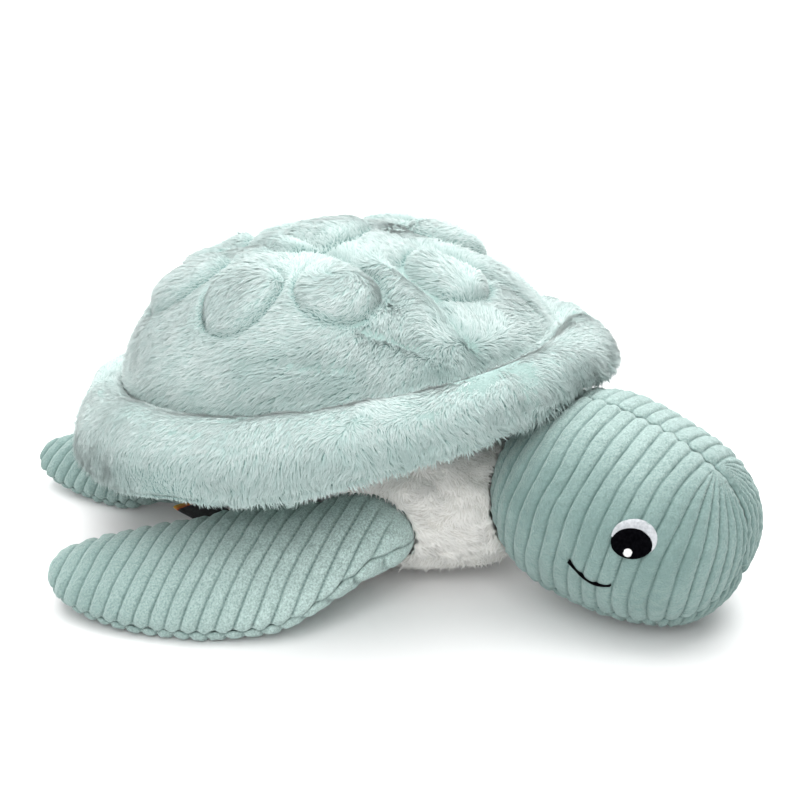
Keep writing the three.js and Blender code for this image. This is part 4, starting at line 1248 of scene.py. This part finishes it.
def rim_skin(name, start, end, rows, seed, upper):
    """One panel of the roll. The upper one's pile is brushed outwards, then hangs, parted, over the seam."""
    u = np.linspace(0, 1, RIM_COLUMNS, endpoint=False)
    grid_u, grid_v = np.meshgrid(u, np.linspace(start, end, rows), indexing="ij")
    outer, inner = rim_form(grid_u, grid_v), rim_form(grid_u, grid_v, CLOTH)
    normals = grid_normals(outer, True, outer - inner)
    edge = np.minimum(grid_v - start, end - grid_v)
    rise = 0.9 * ripples(outer, 80, seed) + 0.5 * ripples(outer, 28, seed + 1)
    rise = (rise - PILE_SINK) * ease(edge / 0.08) - 1.2 * bell(edge, 0.02)
    world = beside_head(outer + normals * rise[..., None])
    lying = grid_normals(world, True, world - from_shell(inner))
    around = unit(np.gradient(np.concatenate([outer[-1:], outer, outer[:1]]), axis=0)[1:-1])
    hang = ease((grid_v - HANG_FROM) / HANG_FADE) if upper else np.ones_like(grid_v)
    backward = 0.5 * (1 - hang) * np.sin(2 * np.pi * grid_u)
    splayed = 0.8 * ripples(outer, 15, seed + 7) * hang * bell(grid_v - RIM_SEAM, 0.16)
    way = unit(np.gradient(outer, axis=1)) * (0.55 + 0.6 * hang)[..., None] + around * backward[..., None]
    way = way + 0.4 * swirls(outer, 60, seed + 2) + around * splayed[..., None]
    over_label = 1 - 0.75 * hang * bell(grid_u - LABEL_AROUND, 0.035)
    values = {
        # Painted shade along the panel's edges and where the pile hangs over the seam.
        "painted_shade": np.clip(0.8 * bell(edge, 0.02) + 0.85 * hang, 0, 1),
        "thick": np.ones_like(edge),
        "long": (0.72 + 0.58 * hang + 0.14 * ripples(outer, 25, seed + 5)) * over_label,
        "stand": 0.2 + 0.3 * hang + 0.2 * bell(grid_v, 0.12),
        "nap": brushed_way(lying, way @ SHELL_TURN.T),
    }
    return shown(name, cloth_mesh(name, world, beside_head(inner), values, ring=True), mint_skin)


rim_upper = rim_skin("shell_rim_upper_plush", 0, RIM_SEAM - SEAM_GAP, UPPER_ROWS, 61, True)
rim_lower = rim_skin("shell_rim_lower_plush", RIM_SEAM + SEAM_GAP, 1, LOWER_ROWS, 71, False)
rim_upper_pile = pile("shell_rim_upper_pile", rim_upper, mint_pile, PLUSH, 62, Density=1.4e6, **SHORT_NAP)
rim_lower_pile = pile("shell_rim_lower_pile", rim_lower, mint_pile, PLUSH, 72, Density=0.9e6, **SHORT_NAP)
print("rim", len(rim_upper_pile.data.polygons) // 4, "and", len(rim_lower_pile.data.polygons) // 4, "blades")


# %% Underside of the shell
DISH_COLUMNS, DISH_ROWS = 240, 60
DISH_DEPTH, DISH_HEM = 18.0, 0.1


def underside_skin():
    """The cloth that closes the pillow against the body: a shallow dish, hemmed to the roll's lower edge."""
    v = np.linspace(0, 1, DISH_COLUMNS, endpoint=False)
    grid_v, share = np.meshgrid(v, np.linspace(0, 1, DISH_ROWS), indexing="ij")
    low = shell_point(grid_v, -EASE * share, -DISH_DEPTH * share**2 - CREASE_HEIGHT, share)
    hem = rim_form(grid_v, np.ones_like(grid_v))[..., 2] - low[:, -1:, 2]
    low[..., 2] += hem * ease((share - 1 + DISH_HEM) / DISH_HEM)
    low[..., 2] += 0.4 * ripples(low, 30, 81) * ease((1 - share) / 0.1)
    outer, inner = beside_head(low), beside_head(low + np.array([0, 0, CLOTH]))
    way = np.array([0.3, 1.0, 0]) + 0.5 * swirls(low, 60, 82)
    values = {
        # Painted shade all over the underside, which lies under the shell.
        "painted_shade": 0.5 * np.ones_like(share),
        "thick": ease((share - 0.3) / 0.1),
        "long": 0.8 * np.ones_like(share),
        "stand": 0.25 * np.ones_like(share),
        "nap": brushed_way(grid_normals(outer, True, outer - inner), way),
    }
    mesh = cloth_mesh("shell_underside_plush", outer, inner, values, ring=True)
    return shown("shell_underside_plush", mesh, mint_skin)


underside = underside_skin()
underside_pile = pile("shell_underside_pile", underside, mint_pile, PLUSH, 85, Density=6e5, **SHORT_NAP)
print("underside", len(underside_pile.data.polygons) // 4, "blades")

# %% [markdown]
# ## Body
# The belly bag is a short white plush. It has hollows for the neck and the flippers, so its skin starts as a
# remeshed copy of the CAD cover, which is then wrinkled, and a short pile grows on its outside alone.

# %% An even copy of a CAD form
def remeshed(node, name, voxel):
    """An even mesh over a CAD node's form. The node's loose corners are merged first."""
    whole = bmesh.new()
    whole.from_mesh(frame["nodes"][node].data)
    bmesh.ops.remove_doubles(whole, verts=whole.verts, dist=1e-6)
    mesh = bpy.data.meshes.new("rough")
    whole.to_mesh(mesh)
    whole.free()
    mesh.materials.clear()
    rough = bpy.data.objects.new("rough", mesh)
    bpy.context.scene.collection.objects.link(rough)
    modifier = rough.modifiers.new("even", "REMESH")
    modifier.mode, modifier.voxel_size = "VOXEL", voxel * MM
    smoothing = rough.modifiers.new("soft", "SMOOTH")
    smoothing.factor, smoothing.iterations = 0.5, 3
    view = bpy.context.evaluated_depsgraph_get()
    made = bpy.data.meshes.new_from_object(rough.evaluated_get(view))
    bpy.data.objects.remove(rough)
    made.name = name
    return made


def measured(mesh):
    """A mesh's points in millimetres, and the way each of them faces."""
    return read(mesh.vertices, "co").astype(float) / MM, read(mesh.vertices, "normal").astype(float)


def reshaped(mesh, points):
    """Moves a mesh's points to places in millimetres."""
    mesh.vertices.foreach_set("co", (points * MM).astype(np.float32).ravel())
    smoothed(mesh)
    mesh.update()


# %% Body skin
# The root colour is painted shade deep in the pile.
WHITE = {"root": srgb(236, 235, 230), "body": srgb(248, 247, 243), "tip": srgb(250, 249, 246)}
BODY_HALF = np.array([78.0, 128.0])
BODY_CORE, BODY_CROWN, BODY_SQUARE, BODY_SUNK = 50.0, 62.0, 2.5, 0.5
BODY_VOXEL, BODY_OUTSIDE, BODY_LOWEST = 1.7, 0.975, 0.1
# Skin colours a little darker than the pile's, as painted shade; the third is the painted shade of the wrinkles.
white_skin = plush_skin("white_plush_back_painted_shade", WHITE["root"], srgb(226, 224, 218), srgb(208, 205, 197))
white_pile = pile_finish("white_plush_pile", WHITE["tip"])


def body_level(points):
    """1 on the body's outer form, less inside it."""
    low = points[:, 2] < BODY_CORE
    plan = np.hypot(points[:, 0] / BODY_HALF[0], (points[:, 1] - SHIFT) / BODY_HALF[1])
    below = (BODY_CORE - points[:, 2]) / (BODY_CORE + BODY_SUNK)
    rise = np.where(low, below, (points[:, 2] - BODY_CORE) / BODY_CROWN)
    power = np.where(low, BODY_SQUARE, 2)
    return (plan**power + np.clip(rise, 0, None) ** power) ** (1 / power)


def body_skin():
    """The wrinkled belly. Pile grows on its outside, not in the hollows for the neck and the flippers."""
    mesh = remeshed("body_cover", "body_white_plush", BODY_VOXEL)
    points, facing = measured(mesh)
    outside = (body_level(points) > BODY_OUTSIDE) & (facing[:, 2] > -0.98)
    wrinkle = 0.8 * ripples(points, 22, 91) + 0.5 * ripples(points * np.array([1, 1, 2.2]), 14, 92)
    points += facing * np.where(outside & (points[:, 2] > 4), wrinkle, 0)[:, None]
    points[:, 2] = np.maximum(points[:, 2], BODY_LOWEST)
    carry(mesh, {
        # Painted shade in the dips of the wrinkles.
        "painted_shade": np.clip(-wrinkle * 0.25, 0, 1),
        "thick": outside.astype(float),
        "long": np.full(len(points), 1.0),
        "stand": np.full(len(points), 0.28),
        "nap": brushed_way(facing, np.array([0, 0.2, -0.8]) + 0.7 * swirls(points, 40, 93)),
    })  # fmt: skip
    reshaped(mesh, points)
    return shown("body_white_plush", mesh, white_skin)


body_cloth = body_skin()
body_pile = pile("body_white_pile", body_cloth, white_pile, WHITE, 96, Density=5.2e5, Length=0.0048)
print("body", len(body_cloth.data.polygons), "faces and", len(body_pile.data.polygons) // 4, "blades")

# %% [markdown]
# ## Label
# A folded woven tape sewn into the side seam, bare of any print, with an orange edge. It is a flat strip
# bent double, so it is drawn as a path and given its width and a real thickness.

# %% Label
LABEL = {"width": 26.0, "edge": 5.0, "reach": 24.0, "back": 62.0, "height": 28.0, "gap": 1.1, "tape": 0.45}
TAPE_ROWS, TAPE_COLUMNS, TAPE_APART = 33, 12, 0.2


def woven(name, near, far, low, high):
    """Woven tape whose colour runs from near to far across its width."""
    material, tree, shader = principled(name, 0.7, 0.15)
    place = add(tree, "ShaderNodeTexCoord").outputs["Object"]
    wave = add(tree, "ShaderNodeTexWave", {"Vector": place, "Scale": 900.0, "Distortion": 1.0})
    colour = blended(tree, ranged(tree, carried(tree, "across"), low, high), near, far)
    surfaced(tree, shader, colour, socket(wave.outputs, "Fac"), 0.0002, 0.6)
    return material


def label_place():
    """The label's middle and its axes: out of the body, along the seam and up."""
    low = (BODY_CORE - LABEL["height"]) / (BODY_CORE + BODY_SUNK)
    level = (1 - low**BODY_SQUARE) ** (1 / BODY_SQUARE)
    back = LABEL["back"] / BODY_HALF[1]
    out = np.sqrt(level**2 - back**2)
    normal = np.arctan2(back / BODY_HALF[1], -out / BODY_HALF[0])
    x = np.array([np.cos(normal), np.sin(normal), 0])
    y = np.array([-np.sin(normal), np.cos(normal), 0])
    return np.array([-out * BODY_HALF[0], LABEL["back"] + SHIFT, LABEL["height"]]), x, y


def label_tape(name, start, end, material):
    middle, out, side = label_place()
    t = np.linspace(0, 1, TAPE_ROWS)
    reach = LABEL["reach"] - 1
    straight = np.abs(2 * t - 1)
    run = reach * np.clip((1 - straight) / 0.92, 0, 1)
    bulge = np.sqrt(np.clip(1 - np.clip((run - reach + 2) / 2, 0, 1) ** 2, 0, 1))
    lift = np.sign(0.5 - t) * LABEL["gap"] / 2 * bulge + 0.8 * np.sin(run / reach * 2.2)
    across = np.linspace(start, end, TAPE_COLUMNS)
    grid_run, grid_side = np.meshgrid(run, across, indexing="ij")
    grid_lift = np.meshgrid(lift, across, indexing="ij")[0] + 0.4 * np.sin(grid_side / 5)
    path = middle + grid_run[..., None] * out + grid_side[..., None] * side
    path[..., 2] += grid_lift
    normals = grid_normals(path, False, np.broadcast_to(np.array([0, 0, 1.0]), path.shape))
    wide = (grid_side + LABEL["width"] / 2) / LABEL["width"]
    outer, inner = path + normals * LABEL["tape"] / 2, path - normals * LABEL["tape"] / 2
    return shown(name, slab(name, outer, inner, {"across": wide}), material)


black_tape = woven("black_tape", srgb(22, 22, 25), srgb(14, 14, 17), 0, 1)
orange_tape = woven("orange_tape", srgb(244, 196, 66), srgb(214, 78, 40), 0, 0.2)
low_side, high_side = -LABEL["width"] / 2, LABEL["width"] / 2
label = label_tape("label_tape", low_side + LABEL["edge"] + TAPE_APART, high_side, black_tape)
label_edge = label_tape("label_edge_strip", low_side, low_side + LABEL["edge"], orange_tape)
print("label", len(label.data.polygons), len(label_edge.data.polygons))

# %% [markdown]
# ## Fillings
# Inside each bag is loose polyester fibre. It never shows, but a cutaway would, so each CAD filling gets a
# lumpy copy that stays inside its cover.


# %% Fillings
FIBRE_VOXEL, FIBRE_PRESSED = 4.0, 2.6


def fibre():
    material, tree, shader = principled("stuffing", 1.0, 0.4)
    clouds = ranged(tree, noise(tree, 120, 4, 0.6), 0.3, 0.7)
    colour = blended(tree, clouds, srgb(236, 234, 228), srgb(250, 249, 246))
    surfaced(tree, shader, colour, noise(tree, 500, 4, 0.7), 0.002, 0.7)
    return material


def lumpy(node, material, seed):
    """A finer copy of a filling, pressed in unevenly."""
    mesh = remeshed(node, f"{node}_fibre", FIBRE_VOXEL)
    points, facing = measured(mesh)
    reshaped(mesh, points - facing * (FIBRE_PRESSED + 0.7 * ripples(points, 18, seed))[:, None])
    piece = shown(f"{node}_fibre", mesh, material)
    return piece


stuffing = fibre()
fillings = {
    node: lumpy(node, stuffing, 200 + k)
    for k, node in enumerate(sorted(n for n in frame["nodes"] if n.endswith("filling")))
}
print("fillings", {node: len(piece.data.polygons) for node, piece in fillings.items()})

# %% [markdown]
# ## Put it together
# Each piece rides on the CAD body that it is sewn to and stands for its CAD node, which is hidden, and each
# pile does as its skin does. The covers and panels are stuffed.

# %% Ride and stand for
bodies = frame["record"]["behaviour"]["bodies"]
body_of_node = {node: body for body, nodes in bodies.items() for node in nodes}
stands_for = {
    **head_pieces, **face_pieces, **flipper_pieces, **fillings,
    "shell_dome_cover": dome, "shell_rim_upper_panel": rim_upper, "shell_rim_lower_panel": rim_lower,
    "shell_underside": underside, "body_cover": body_cloth, "label": label, "label_edge_tape": label_edge,
}  # fmt: skip
piles = {
    "shell_dome_cover": dome_pile, "shell_rim_upper_panel": rim_upper_pile,
    "shell_rim_lower_panel": rim_lower_pile, "shell_underside": underside_pile, "body_cover": body_pile,
}  # fmt: skip
for node, piece in (*stands_for.items(), *piles.items()):
    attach(piece, body_of_node[node])
    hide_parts(node)
print("nodes stood for", len(stands_for), "of", len(frame["nodes"]))
